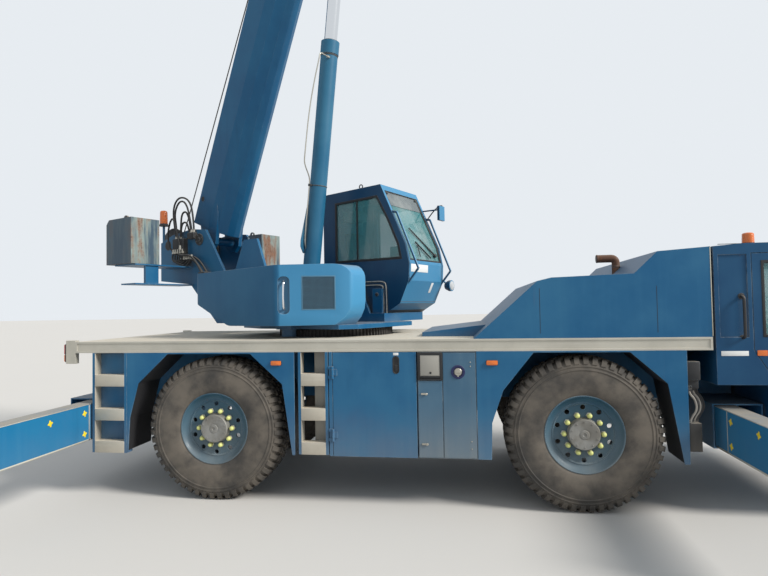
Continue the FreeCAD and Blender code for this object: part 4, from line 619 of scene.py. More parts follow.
PAINT_BLUE: Colour = (0.006, 0.095, 0.220)
PAINT_FADED: Colour = (0.030, 0.150, 0.275)
FINISHES: Dict[str, Any] = {
    "blue_paint": Enamel("blue_paint", PAINT_BLUE, PAINT_FADED, dust=0.45),
    "beam_paint": Enamel("beam_paint", (0.006, 0.145, 0.310), (0.025, 0.185, 0.345), dust=1.0, rust=0.12, fade=0.4,
                         splash=0.15),
    "boom_paint": Enamel("boom_paint", (0.002, 0.075, 0.180), (0.012, 0.120, 0.240), dust=0.2, rust=0.04, splash=0.0),
    "cab_paint": Enamel("cab_paint", (0.002, 0.052, 0.135), (0.012, 0.085, 0.180), dust=0.4, rust=0.06, splash=0.0),
    # Crane cab paint made darker to stand in for the shade on the cab's sides (painted shade), with painted sunlight on
    # its forward faces.
    "upper_cab_paint": Enamel("upper_cab_paint", (0.001, 0.040, 0.105), (0.008, 0.070, 0.150), dust=0.4, rust=0.06,
                              splash=0.0, painted_sunlight=0.8),
    # Housing paint with painted sunlight on its forward faces.
    "housing_paint": Enamel("housing_paint", (0.004, 0.080, 0.180), (0.022, 0.120, 0.225), dust=0.4, rust=0.08,
                            splash=0.0, painted_sunlight=0.95),
    "box_paint": Enamel("box_paint", (0.045, 0.120, 0.200), (0.095, 0.175, 0.245), dust=0.6, rust=0.2, splash=0.5),
    "barrel_paint": Enamel("barrel_paint", (0.010, 0.105, 0.205), (0.045, 0.17, 0.27), dust=0.3, rust=0.06,
                           splash=0.0),
    "rim_paint": Enamel("rim_paint", (0.018, 0.075, 0.125), (0.055, 0.12, 0.165), dust=0.3, rust=0.2, splash=0.35),
    "deck_alloy": Alloy("deck_alloy"),
    "step_alloy": Alloy("step_alloy", (0.54, 0.50, 0.42)),
    "dark_steel": Enamel("dark_steel", (0.022, 0.023, 0.026), (0.05, 0.05, 0.05), dust=0.7, rust=0.3, rough=0.55),
    "grey_steel": Enamel("grey_steel", (0.22, 0.225, 0.22), (0.3, 0.3, 0.28), dust=0.6, rust=0.25, rough=0.5),
    "chrome_rod": Metal("chrome_rod", (0.78, 0.79, 0.8), (0.5, 0.5, 0.5), 0.05, 0.06),
    "rusty_steel": Enamel("rusty_steel", (0.11, 0.055, 0.035), (0.17, 0.09, 0.06), dust=0.2, rust=1.0, rough=0.75,
                          splash=0.0),
    "rubber_tyre": Rubber("rubber_tyre"),
    "window_glass": Pane("window_glass"),
    "trim_plastic": Plastic("trim_plastic", (0.018, 0.018, 0.02)),
    "seat_cloth": Weave("seat_cloth", (0.045, 0.052, 0.058)),
    "edge_cream": Enamel("edge_cream", (0.50, 0.47, 0.38), (0.62, 0.60, 0.52), dust=0.8, rust=0.3, rough=0.6),
    "worn_edge": Enamel("worn_edge", (0.16, 0.25, 0.33), (0.34, 0.42, 0.47), dust=0.4, rust=0.3, rough=0.5, splash=0.0),
    "seam_dark": Plastic("seam_dark", (0.01, 0.02, 0.035), rough=0.7, dust=0.3, grain=0.1),
    "lid_grey": Plastic("lid_grey", (0.30, 0.29, 0.26), rough=0.5, dust=0.4, grain=0.1),
    "collar_blue": Plastic("collar_blue", (0.006, 0.012, 0.075), rough=0.45, dust=0.3, grain=0.1),
    "sleeve_grey": Plastic("sleeve_grey", (0.27, 0.25, 0.22), rough=0.6, dust=0.5, grain=0.2),
    "skirt_grey": Plastic("skirt_grey", (0.055, 0.062, 0.07), rough=0.6, dust=0.4, grain=0.3),
    "console_grey": Plastic("console_grey", (0.10, 0.17, 0.17), rough=0.55, dust=0.2, grain=0.4),
    "smoked_glass": Pane("smoked_glass", (0.14, 0.17, 0.18), 0.7),
    "orange_lens": Lens("orange_lens", (0.75, 0.16, 0.015)),
    "clear_lens": Lens("clear_lens", (0.50, 0.52, 0.53)),
    "red_lens": Lens("red_lens", (0.50, 0.02, 0.015)),
    "nut_cap": Plastic("nut_cap", (0.62, 0.64, 0.22), rough=0.45, dust=0.35),
    "marker_yellow": Plastic("marker_yellow", (0.72, 0.55, 0.02), rough=0.5, dust=0.5),
    "hose_rubber": Plastic("hose_rubber", (0.02, 0.02, 0.021), rough=0.5, dust=0.35, grain=0.2),
    "blank_plate": Plastic("blank_plate", (0.68, 0.69, 0.68), rough=0.45, dust=0.25, grain=0.1),
    "hub_steel": Metal("hub_steel", (0.30, 0.30, 0.285), (0.13, 0.115, 0.09), 0.55, 0.5, (4.0, 4.0, 4.0), 0.35),
    "fitting_steel": Metal("fitting_steel", (0.55, 0.53, 0.47), (0.12, 0.10, 0.07), 0.4, 0.35),
    "mirror_glass": Metal("mirror_glass", (0.80, 0.82, 0.84), (0.4, 0.4, 0.38), 0.05, 0.04),
    "mesh_black": Plastic("mesh_black", (0.012, 0.013, 0.015), rough=0.6, dust=0.5, grain=0.2),
    "mesh_blue": Plastic("mesh_blue", (0.055, 0.15, 0.23), rough=0.6, dust=0.3, grain=0.2),
    "rope_wire": Strand("rope_wire"),
    "ring_steel": Metal("ring_steel", (0.16, 0.155, 0.15), (0.025, 0.022, 0.02), 0.75, 0.42, metallic=0.7),
    "weight_paint": Iron("weight_paint"),
}
NODE_FINISH: Dict[str, str] = {
    "boom_base": "boom_paint", "boom_section_1": "boom_paint", "boom_section_2": "boom_paint",
    "boom_section_3": "boom_paint", "boom_head": "boom_paint", "lift_barrel": "barrel_paint",
    "crane_cab_shell": "upper_cab_paint", "crane_cab_door": "upper_cab_paint", "driver_cab_shell": "cab_paint",
    "service_box": "box_paint", "driver_door_right": "cab_paint", "driver_door_left": "cab_paint",
    "crane_cab_interior": "seat_cloth", "driver_cab_interior": "seat_cloth",
}


class Palette:
    """Materials made once and shared."""

    def __init__(self) -> None:
        """Start with no material made."""
        self._made: Dict[str, bpy.types.Material] = {}

    def get(self, name: str) -> bpy.types.Material:
        """Material of one finish."""
        if name not in self._made:
            self._made[name] = FINISHES[name].material()
        return self._made[name]

    def dress(self, piece: bpy.types.Object, name: str) -> None:
        """Give a whole piece one finish."""
        piece.data.materials.clear()
        piece.data.materials.append(self.get(name))


PALETTE = Palette()


def dress_frame() -> None:
    """Give each fixed node the finish of its own slot."""
    slots = {part["node"]: part["material_slot"] for part in frame["record"]["subparts"]}
    for name, node in frame["nodes"].items():
        finish = NODE_FINISH.get(name, slots[name])
        if name.startswith("outrigger_beam"):
            finish = "beam_paint"
        if name.startswith("rim_"):
            finish = "rim_paint"
        for index in range(max(1, len(node.material_slots))):
            if not node.material_slots:
                node.data.materials.append(PALETTE.get(finish))
            else:
                node.material_slots[index].material = PALETTE.get(finish)
        LOG.info("dressed %s in %s", name, finish)


def axes_of(along: Point, across: Point, origin: Point) -> Matrix:
    """Axes from two directions.

    Args:
        along: direction of X.
        across: direction of Y, square to X.
        origin: their zero point, in the row frame.

    Returns:
        The matrix from these axes to the row frame.
    """
    first, second = Vector(along).normalized(), Vector(across).normalized()
    turn = Matrix((first, second, first.cross(second))).transposed().to_4x4()
    return Matrix.Translation(Vector(origin)) @ turn


ACROSS = -Vector(JOINTS["boom_luff"]["axis"])
GROUND_AXES = Matrix.Identity(4)
UPPER_AXES = axes_of(ACROSS.cross(Vector((0, 0, 1))), ACROSS, (0, 0, 1.785))
BOOM_AXES = axes_of(JOINTS["telescope_1"]["axis"], ACROSS, JOINTS["boom_luff"]["pos_m"])
CYLINDER_AXES = axes_of(JOINTS["rod_slide"]["axis"], ACROSS, JOINTS["barrel_tilt"]["pos_m"])
PLANES: Dict[str, Tuple[int, int, int]] = {"XZ": (0, 2, 1), "XY": (0, 1, 2), "YZ": (1, 2, 0)}
SLOTS: Dict[str, str] = {
    "beam_paint": "blue_paint", "boom_paint": "blue_paint", "rim_paint": "blue_paint",
    "cab_paint": "blue_paint", "barrel_paint": "blue_paint", "step_alloy": "deck_alloy",
    "box_paint": "blue_paint", "upper_cab_paint": "blue_paint", "housing_paint": "blue_paint",
    "seat_cloth": "trim_plastic", "nut_cap": "trim_plastic", "marker_yellow": "trim_plastic",
    "hose_rubber": "trim_plastic", "blank_plate": "trim_plastic", "mesh_black": "trim_plastic", "mesh_blue": "trim_plastic",
    "hub_steel": "grey_steel", "fitting_steel": "grey_steel", "mirror_glass": "chrome_rod",
    "red_lens": "orange_lens", "edge_cream": "blue_paint", "worn_edge": "blue_paint", "seam_dark": "trim_plastic",
    "lid_grey": "trim_plastic", "collar_blue": "trim_plastic", "sleeve_grey": "trim_plastic",
    "skirt_grey": "trim_plastic", "console_grey": "trim_plastic", "smoked_glass": "window_glass",
}
CREASE = math.radians(32)


class Form:
    """Mesh of one piece, gathered from shapes in one set of axes."""

    def __init__(self, name: str, body: str, finish: str, axes: Matrix = GROUND_AXES) -> None:
        """Start an empty mesh that will ride on a body in one finish."""
        self.name = name
        self.body = body
        self.finish = finish
        self.axes = axes
        self.mesh = bmesh.new()

    def merge(self, part: bmesh.types.BMesh, turn: Optional[Matrix] = None) -> None:
        """Add a finished shape and free it."""
        if turn is not None:
            bmesh.ops.transform(part, matrix=turn, verts=part.verts)
        scratch = bpy.data.meshes.new("scratch")
        part.to_mesh(scratch)
        part.free()
        self.mesh.from_mesh(scratch)
        bpy.data.meshes.remove(scratch)

    @staticmethod
    def _soften(part: bmesh.types.BMesh, radius: float) -> None:
        """Round off the sharp edges of a shape."""
        if radius:
            sharp = [edge for edge in part.edges if len(edge.link_faces) == 2 and edge.calc_face_angle() > 0.5]
            bmesh.ops.bevel(part, geom=sharp, offset=radius, segments=2, profile=0.5, affect="EDGES",
                            clamp_overlap=True)

    def block(self, low: Point, high: Point, soft: float = 0.0, turn: Optional[Matrix] = None) -> "Form":
        """Add a six-sided shape with softened edges.

        Args:
            low: lowest corner.
            high: highest corner.
            soft: radius of its edges.
            turn: matrix that sets it in place.

        Returns:
            This form.
        """
        part = bmesh.new()
        bmesh.ops.create_cube(part, size=1.0)
        for vert in part.verts:
            vert.co = Vector([a + (c + 0.5) * (b - a) for a, b, c in zip(low, high, vert.co)])
        self._soften(part, soft)
        self.merge(part, turn)
        return self

    def slab(self, outline: Sequence[Point], low: float, high: float, plane: str = "XZ",
             soft: float = 0.0, turn: Optional[Matrix] = None) -> "Form":
        """Add a plate of any outline.

        Args:
            outline: corners in the plane.
            low: where it starts on the third axis.
            high: where it ends.
            plane: the two axes of the outline.
            soft: radius of its edges.
            turn: matrix that sets it in place.

        Returns:
            This form.
        """
        first, second, third = PLANES[plane]
        part = bmesh.new()
        rings = []
        for level in (low, high):
            ring = []
            for a, b in outline:
                spot = [0.0, 0.0, 0.0]
                spot[first], spot[second], spot[third] = a, b, level
                ring.append(part.verts.new(spot))
            part.faces.new(ring)
            rings.append(ring)
        self._skin(part, rings[0], rings[1])
        bmesh.ops.recalc_face_normals(part, faces=part.faces)
        self._soften(part, soft)
        self.merge(part, turn)
        return self

    @staticmethod
    def _skin(part: bmesh.types.BMesh, near: Sequence[Any], far: Sequence[Any]) -> None:
        """Join two rings of points with faces."""
        for index, vert in enumerate(near):
            other = (index + 1) % len(near)
            corners = list(dict.fromkeys((vert, near[other], far[other], far[index])))
            if len(corners) > 2:
                part.faces.new(corners)

    def turned(self, profile: Sequence[Point], centre: Point, axis: Point = (0, 0, 1), steps: int = 32,
               closed: bool = False) -> "Form":
        """Add a shape turned on a lathe.

        Args:
            profile: pairs of radius and height.
            centre: where height is zero.
            axis: direction of the height.
            steps: points round it.
            closed: whether the profile ends where it starts.

        Returns:
            This form.
        """
        part = bmesh.new()
        rings = []
        for radius, height in profile:
            if radius < 1e-6:
                rings.append([part.verts.new((0, 0, height))] * steps)
                continue
            spots = [2 * math.pi * step / steps for step in range(steps)]
            rings.append([part.verts.new((radius * math.cos(a), radius * math.sin(a), height)) for a in spots])
        for near, far in zip(rings, rings[1:]):
            self._skin(part, near, far)
        if closed:
            self._skin(part, rings[-1], rings[0])
        bmesh.ops.recalc_face_normals(part, faces=part.faces)
        turn = Vector(axis).to_track_quat("Z", "Y").to_matrix().to_4x4()
        self.merge(part, Matrix.Translation(Vector(centre)) @ turn)
        return self

    def disc(self, centre: Point, axis: Point, radius: float, thick: float, soft: float = 0.002,
             steps: int = 28) -> "Form":
        """Add a round plate or pin with softened rims, from its centre along its axis."""
        profile = [(0, 0), (radius - soft, 0), (radius, soft), (radius, thick - soft), (radius - soft, thick),
                   (0, thick)]
        return self.turned(profile, centre, axis, steps)

    def ring(self, centre: Point, axis: Point, outer: float, inner: float, thick: float,
             steps: int = 32) -> "Form":
        """Add a round frame or collar."""
        soft = min(0.002, (outer - inner) / 4, thick / 4)
        profile = [(inner, 0), (outer - soft, 0), (outer, soft), (outer, thick - soft), (outer - soft, thick),
                   (inner, thick)]
        return self.turned(profile, centre, axis, steps, closed=True)

    def pipe(self, points: Sequence[Point], radius: float, order: int = 3, sides: int = 3) -> "Form":
        """Add a round bar, pipe or clipped hose.

        Args:
            points: its control points.
            radius: half its thickness.
            order: 2 for straight runs, 3 or more for bends.
            sides: fineness of its section.

        Returns:
            This form.
        """
        curve = bpy.data.curves.new("pipe", "CURVE")
        curve.dimensions = "3D"
        curve.bevel_depth = radius
        curve.bevel_resolution = sides
        curve.resolution_u = 8
        curve.use_fill_caps = True
        spline = curve.splines.new("NURBS" if order > 2 else "POLY")
        spline.points.add(len(points) - 1)
        for target, spot in zip(spline.points, points):
            target.co = (*spot, 1.0)
        if order > 2:
            spline.order_u = min(order, len(points))
            spline.use_endpoint_u = True
        holder = bpy.data.objects.new("pipe", curve)
        bpy.context.scene.collection.objects.link(holder)
        made = bpy.data.meshes.new_from_object(holder.evaluated_get(bpy.context.evaluated_depsgraph_get()))
        part = bmesh.new()
        part.from_mesh(made)
        bmesh.ops.remove_doubles(part, verts=part.verts, dist=1e-5)
        bmesh.ops.recalc_face_normals(part, faces=part.faces)
        self.merge(part)
        bpy.data.objects.remove(holder)
        bpy.data.curves.remove(curve)
        bpy.data.meshes.remove(made)
        return self

    def frame(self, outline: Sequence[Point], width: float, low: float, high: float, plane: str = "XZ",
              soft: float = 0.0) -> "Form":
        """Add a band that follows an outline, such as a window seal.

        Args:
            outline: corners of the opening.
            width: how far the band reaches into the opening.
            low: where it starts on the third axis.
            high: where it ends.
            plane: the two axes of the outline.
            soft: radius of its edges.

        Returns:
            This form.
        """
        first, second, third = PLANES[plane]
        count = len(outline)
        corners = [Vector(corner) for corner in outline]
        middle = sum(corners, Vector((0.0, 0.0))) / count
        inner = []
        for index, corner in enumerate(corners):
            before = (corner - corners[index - 1]).normalized()
            after = (corners[(index + 1) % count] - corner).normalized()
            away = Vector((-before.y - after.y, before.x + after.x)).normalized()
            if away.dot(middle - corner) < 0:
                away = -away
            lean = max(0.35, abs(away.x * -before.y + away.y * before.x))
            inner.append(corner + away * (width / lean))
        part = bmesh.new()
        rings = []
        for ring, level in ((corners, low), (corners, high), (inner, high), (inner, low)):
            verts = []
            for corner in ring:
                spot = [0.0, 0.0, 0.0]
                spot[first], spot[second], spot[third] = corner.x, corner.y, level
                verts.append(part.verts.new(spot))
            rings.append(verts)
        for near, far in zip(rings, rings[1:] + rings[:1]):
            self._skin(part, near, far)
        bmesh.ops.recalc_face_normals(part, faces=part.faces)
        self._soften(part, soft)
        self.merge(part)
        return self

    def mirror(self) -> "Form":
        """Repeat all that is there on the other side of Y = 0."""
        copy = bmesh.ops.duplicate(self.mesh, geom=list(self.mesh.verts) + list(self.mesh.edges)
                                   + list(self.mesh.faces))["geom"]
        for item in copy:
            if isinstance(item, bmesh.types.BMVert):
                item.co.y = -item.co.y
        bmesh.ops.reverse_faces(self.mesh, faces=[item for item in copy if isinstance(item, bmesh.types.BMFace)])
        return self

    def carve(self, tool: "Form", operation: str = "DIFFERENCE") -> "Form":
        """Cut this form with another one, which is used up.

        Args:
            tool: the other form, in the same axes.
            operation: Blender's name of the cut.

        Returns:
            This form.
        """
        items = []
        for form in (self, tool):
            made = bpy.data.meshes.new("carve")
            form.mesh.to_mesh(made)
            form.mesh.free()
            item = bpy.data.objects.new("carve", made)
            bpy.context.scene.collection.objects.link(item)
            items.append(item)
        change = items[0].modifiers.new("cut", "BOOLEAN")
        change.operation = operation
        change.solver = "EXACT"
        change.object = items[1]
        cut = bpy.data.meshes.new_from_object(items[0].evaluated_get(bpy.context.evaluated_depsgraph_get()))
        self.mesh = bmesh.new()
        self.mesh.from_mesh(cut)
        bpy.data.meshes.remove(cut)
        for item in items:
            made = item.data
            bpy.data.objects.remove(item)
            bpy.data.meshes.remove(made)
        return self

    def round_rims(self, radius: float, segments: int = 4) -> "Form":
        """Round off every sharp edge of the whole form."""
        bmesh.ops.dissolve_limit(self.mesh, angle_limit=0.01, verts=self.mesh.verts, edges=self.mesh.edges)
        sharp = [edge for edge in self.mesh.edges if len(edge.link_faces) == 2 and edge.calc_face_angle() > 0.6]
        bmesh.ops.bevel(self.mesh, geom=sharp, offset=radius, segments=segments, profile=0.5, affect="EDGES",
                        clamp_overlap=True)
        return self

    def done(self, *replaced: str) -> bpy.types.Object:
        """Make the piece, dress it and let it ride.

        Args:
            replaced: the fixed nodes that it stands for.

        Returns:
            The finished piece.
        """
        bmesh.ops.transform(self.mesh, matrix=self.axes, verts=self.mesh.verts)
        made = bpy.data.meshes.new(self.name)
        self.mesh.to_mesh(made)
        self.mesh.free()
        return settle(made, self.body, self.finish, *replaced)


def settle(made: bpy.types.Mesh, body: str, finish: str, *replaced: str) -> bpy.types.Object:
    """Turn a mesh into a piece on its body.

    Args:
        made: mesh in the row frame, named as the piece.
        body: body that carries it, or nothing for one that is left where it is made.
        finish: its finish.
        replaced: the fixed nodes that it stands for.

    Returns:
        The piece.
    """
    made.shade_smooth()
    made.set_sharp_from_angle(angle=CREASE)
    piece = bpy.data.objects.new(made.name, made)
    bpy.context.scene.collection.objects.link(piece)
    PALETTE.dress(piece, finish)
    SLOTS.get(finish, finish)
    if replaced:
        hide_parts(*replaced)
    if body:
        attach(piece, body)
    LOG.info("%s: %d faces on %s", made.name, len(made.polygons), body or "two bodies")
    return piece


def rounded_outline(width: float, height: float, radius: float, centre: Point = (0.0, 0.0),
                    steps: int = 5) -> List[Tuple[float, float]]:
    """Corners of a rounded rectangle.

    Args:
        width: whole width.
        height: whole height.
        radius: of its corners.
        centre: its middle.
        steps: points on each corner.

    Returns:
        The corners in order.
    """
    spots = []
    for index, (right, up) in enumerate(((1, 1), (-1, 1), (-1, -1), (1, -1))):
        for step in range(steps):
            angle = math.pi / 2 * (index + step / (steps - 1))
            spots.append((centre[0] + right * (width / 2 - radius) + radius * math.cos(angle),
                          centre[1] + up * (height / 2 - radius) + radius * math.sin(angle)))
    return spots


def rounded_corners(corners: Sequence[Point], radii: Sequence[float], steps: int = 6) -> List[Point]:
    """Round off the corners of an outline.

    Args:
        corners: the corners in order.
        radii: radius of each, or 0 to keep it.
        steps: points on each round corner, less one.

    Returns:
        The new corners.
    """
    spots: List[Point] = []
    for index, (corner, radius) in enumerate(zip(corners, radii)):
        here = Vector(corner)
        if not radius:
            spots.append(here)
            continue
        back = (Vector(corners[index - 1]) - here).normalized()
        ahead = (Vector(corners[(index + 1) % len(corners)]) - here).normalized()
        half = back.angle(ahead) / 2
        middle = here + (back + ahead).normalized() * (radius / math.sin(half))
        reach = radius / math.tan(half)
        start, end = here + back * reach - middle, here + ahead * reach - middle
        spots += [middle + start.lerp(end, step / steps).normalized() * radius for step in range(steps + 1)]
    return spots


@dataclass
class Wheel:
    """Off-road tyre on a dished rim, one at each corner.

    Attributes:
        corner: which corner, as the fixed nodes name it.
        side: side of the carrier.
        radius: of the tyre; not used.
        rim: radius of the rim's lip.
        dish: how far the disc stands out from the tyre's middle.
        lugs: tread lugs round each shoulder.
        holes: hand holes, and as many nuts.
    """

    corner: str
    side: Side
    radius: float = 0.735
    rim: float = 0.368
    dish: float = 0.135
    lugs: int = 52
    holes: int = 10

    def build(self) -> None:
        """Make the tyre, the rim, the hub and the nuts."""
        low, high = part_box(f"tyre_{self.corner}")
        middle = (low + high) / 2
        facing = Vector((0, self.side.value, 0))
        self.axes = Matrix.Translation(middle) @ facing.to_track_quat("Z", "Y").to_matrix().to_4x4()
        self.body = f"wheel_{self.corner}"
        self._tyre()
        self._rim()
        self._hub()
        self._nuts()

    def _form(self, part: str, finish: str) -> Form:
        """Start one piece of the wheel."""
        return Form(f"{part}_{self.corner}", self.body, finish, self.axes)

    def _tyre(self) -> None:
        """Carcass with fine rings on the sidewall, shoulder lugs and two rows of blocks."""
        wall = [(0.352, 0.176), (0.370, 0.194), (0.400, 0.205), (0.460, 0.2125), (0.540, 0.2115), (0.600, 0.2065),
                (0.604, 0.2100), (0.612, 0.2100), (0.616, 0.2050), (0.634, 0.2020), (0.637, 0.2060),
                (0.646, 0.2050), (0.650, 0.1980), (0.668, 0.1900), (0.690, 0.1750), (0.704, 0.1500),
                (0.708, 0.0600)]
        form = self._form("road_tyre", "rubber_tyre")
        form.turned(wall + [(r, -h) for r, h in reversed(wall)], (0, 0, 0), steps=112, closed=True)
        shoulder = [(0.655, 0.192), (0.662, 0.2005), (0.690, 0.1955), (0.714, 0.181), (0.730, 0.160),
                    (0.735, 0.135), (0.735, 0.092), (0.704, 0.092), (0.700, 0.130), (0.684, 0.168)]
        block = [(0.704, 0.076), (0.735, 0.074), (0.735, 0.012), (0.704, 0.010)]
        pitch = 2 * math.pi / self.lugs
        part = bmesh.new()
        for row, (section, shift) in enumerate(((shoulder, 0.0), (block, 0.5))):
            for face in (1, -1):
                for lug in range(self.lugs):
                    start = (lug + shift + 0.25 * row * face) * pitch
                    self._lug(part, [(r, h * face) for r, h in section], start, pitch * (0.56 + 0.12 * row))
        bmesh.ops.recalc_face_normals(part, faces=part.faces)
        form.merge(part)
        form.done(f"tyre_{self.corner}")

    @staticmethod
    def _lug(part: bmesh.types.BMesh, section: Sequence[Point], start: float, width: float) -> None:
        """Add one lug of a given section."""
        rings = []
        for angle in (start, start + width):
            ring = []
            for radius, height in section:
                turn = angle + 0.22 * height
                ring.append(part.verts.new((radius * math.cos(turn), radius * math.sin(turn), height)))
            part.faces.new(ring)
            rings.append(ring)
        Form._skin(part, rings[0], rings[1])

    def _rim(self) -> None:
        """Lip, gutter, step and disc with its hand holes cut through."""
        dish = self.dish
        profile = [(self.rim, 0.186), (self.rim, 0.194), (0.364, 0.198), (0.356, 0.196), (0.347, 0.184),
                   (0.338, 0.168), (0.312, dish + 0.014), (0.298, dish + 0.010), (0.289, dish + 0.013),
                   (0.282, dish + 0.011), (0.277, dish + 0.002), (0.268, dish), (0.120, dish), (0.120, dish - 0.022),
                   (0.268, dish - 0.022), (0.300, dish - 0.030), (0.334, 0.085), (0.336, -0.120), (0.342, -0.178),
                   (0.358, -0.190), (self.rim, -0.195), (self.rim, -0.186), (0.352, -0.176), (0.350, 0.0),
                   (0.352, 0.176)]
        form = self._form("wheel_rim", "rim_paint")
        form.turned(profile, (0, 0, 0), steps=96, closed=True)
        holes = self._form("holes", "rim_paint")
        for spot in self._spots(0.250, 0.5):
            holes.disc((spot.x, spot.y, dish - 0.06), (0, 0, 1), 0.0235, 0.12, steps=20)
        form.carve(holes)
        form.done(f"rim_{self.corner}")

    def _spots(self, radius: float, shift: float) -> List[Vector]:
        """Places on a circle of the disc."""
        turns = [2 * math.pi * (index + shift) / self.holes for index in range(self.holes)]
        return [Vector((radius * math.cos(turn), radius * math.sin(turn), self.dish)) for turn in turns]

    def _hub(self) -> None:
        """Grey hub cap with a small raised centre, and a ring of screws round its rim."""
        form = self._form("hub_cap", "hub_steel")
        dish = self.dish
        form.turned([(0.152, dish - 0.03), (0.152, dish + 0.012), (0.146, dish + 0.016), (0.1435, dish + 0.060),
                     (0.138, dish + 0.067), (0.060, dish + 0.070), (0.046, dish + 0.066), (0.040, dish + 0.071),
                     (0.018, dish + 0.073), (0.014, dish + 0.068), (0, dish + 0.068)], (0, 0, 0), steps=48)
        form.turned([(0.155, dish - 0.023), (0.130, dish - 0.030), (0.115, -0.02), (0, -0.02)], (0, 0, 0), steps=48)
        for index in range(10):
            turn = 2 * math.pi * (index + 0.5) / 10
            form.disc((0.119 * math.cos(turn), 0.119 * math.sin(turn), dish + 0.063), (0, 0, 1), 0.007, 0.011,
                      steps=6)
        form.done()

    def _nuts(self) -> None:
        """Steel nuts, and the pale caps over them."""
        steel = self._form("wheel_nuts", "fitting_steel")
        caps = self._form("nut_caps", "nut_cap")
        for spot in self._spots(0.181, 0.0):
            steel.turned([(0.030, 0), (0.030, 0.006), (0.023, 0.010), (0.021, 0.026), (0, 0.026)], spot, steps=6)
            caps.turned([(0.0225, 0.012), (0.0240, 0.016), (0.0225, 0.040), (0.0150, 0.052), (0.009, 0.055),
                         (0, 0.056)], spot, steps=18)
        steel.done()
        caps.done()


@dataclass
class OutriggerLeg:
    """Trim of one sliding beam, and its jack.

    Attributes:
        corner: which corner, as the fixed nodes name it.
        side: side of the carrier.
        rod: radius of the jack's rod.
        pad: radius of its foot.
    """

    corner: str
    side: Side
    rod: float = 0.054
    pad: float = 0.188

    def build(self) -> None:
        """Make the jack, the pale edges and the yellow markers."""
        low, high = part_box(f"outrigger_jack_{self.corner}")
        self.foot = Vector(((low.x + high.x) / 2, (low.y + high.y) / 2, low.z))
        beam_low, beam_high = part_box(f"outrigger_beam_{self.corner}")
        self.faces = (beam_low.x, beam_high.x)
        self._jack()
        self._edges()
        self._markers()

    def _jack(self) -> None:
        """Chrome rod in a ball cup on a ribbed round foot."""
        body = f"jack_{self.corner}"
        rod = Form(f"jack_rod_{self.corner}", body, "chrome_rod")
        rod.turned([(0, 0.085), (self.rod, 0.085), (self.rod, 0.688), (0, 0.688)], self.foot, steps=40)
        rod.done()
        foot = Form(f"jack_foot_{self.corner}", body, "grey_steel")
        foot.turned([(0, 0), (self.pad - 0.014, 0), (self.pad - 0.003, 0.004), (self.pad, 0.014),
                     (self.pad, 0.030), (self.pad - 0.006, 0.038), (0.120, 0.042), (0.100, 0.050), (0.088, 0.072),
                     (0.078, 0.092), (0.066, 0.099), (0.057, 0.097), (0, 0.090)], self.foot, steps=56)
        for index in range(8):
            turn = Matrix.Translation(self.foot) @ Matrix.Rotation(math.pi / 4 * index, 4, "Z")
            foot.slab([(0.080, 0.036), (0.170, 0.036), (0.170, 0.044), (0.090, 0.078), (0.080, 0.078)],
                      -0.006, 0.006, soft=0.0015, turn=turn)
        foot.done(f"outrigger_jack_{self.corner}")
        trim = Form(f"jack_seal_{self.corner}", f"beam_{self.corner}", "dark_steel")
        trim.ring(self.foot + Vector((0, 0, 0.521)), (0, 0, 1), 0.094, 0.058, 0.028)
        trim.disc(self.foot + Vector((0, 0, 1.062)), (0, 0, 1), 0.060, 0.016)
        for turn in (0.6, 2.2, 3.8, 5.4):
            trim.disc(self.foot + Vector((0.046 * math.cos(turn), 0.046 * math.sin(turn), 1.070)), (0, 0, 1),
                      0.009, 0.010, steps=6)
        trim.done()

    def _edges(self) -> None:
        """Pale wear along the beam's lower and upper edges."""
        form = Form(f"beam_edges_{self.corner}", f"beam_{self.corner}", "edge_cream")
        near, far = sorted((1.06 * self.side.value, 2.70 * self.side.value))
        for face, out in zip(self.faces, (-0.0015, 0.0015)):
            start, end = sorted((face, face + out))
            form.block((start, near, 0.600), (end, far, 0.617), 0.0004)
            form.block((start, near, 0.978), (end, far, 0.985), 0.0004)
            mouth = sorted((1.292 * self.side.value, 1.304 * self.side.value))
            form.block((start, mouth[0], 0.600), (end, mouth[1], 0.985), 0.0004)
        form.done()

    def _markers(self) -> None:
        """Small yellow rosettes on the sides of the beam."""
        form = Form(f"beam_markers_{self.corner}", f"beam_{self.corner}", "marker_yellow")
        for face, way in zip(self.faces, (-1, 1)):
            for along, height in ((1.37, 0.895), (1.37, 0.680), (1.86, 0.890)):
                star = []
                for index in range(16):
                    radius = 0.034 if index % 4 in (0, 1) else 0.021
                    star.append((radius * math.cos(math.pi / 8 * index), radius * math.sin(math.pi / 8 * index)))
                spots = [(along * self.side.value + a, height + b) for a, b in star]
                start, end = sorted((face, face + 0.0022 * way))
                form.slab(spots, start, end, "YZ", 0.0006)
        form.done()


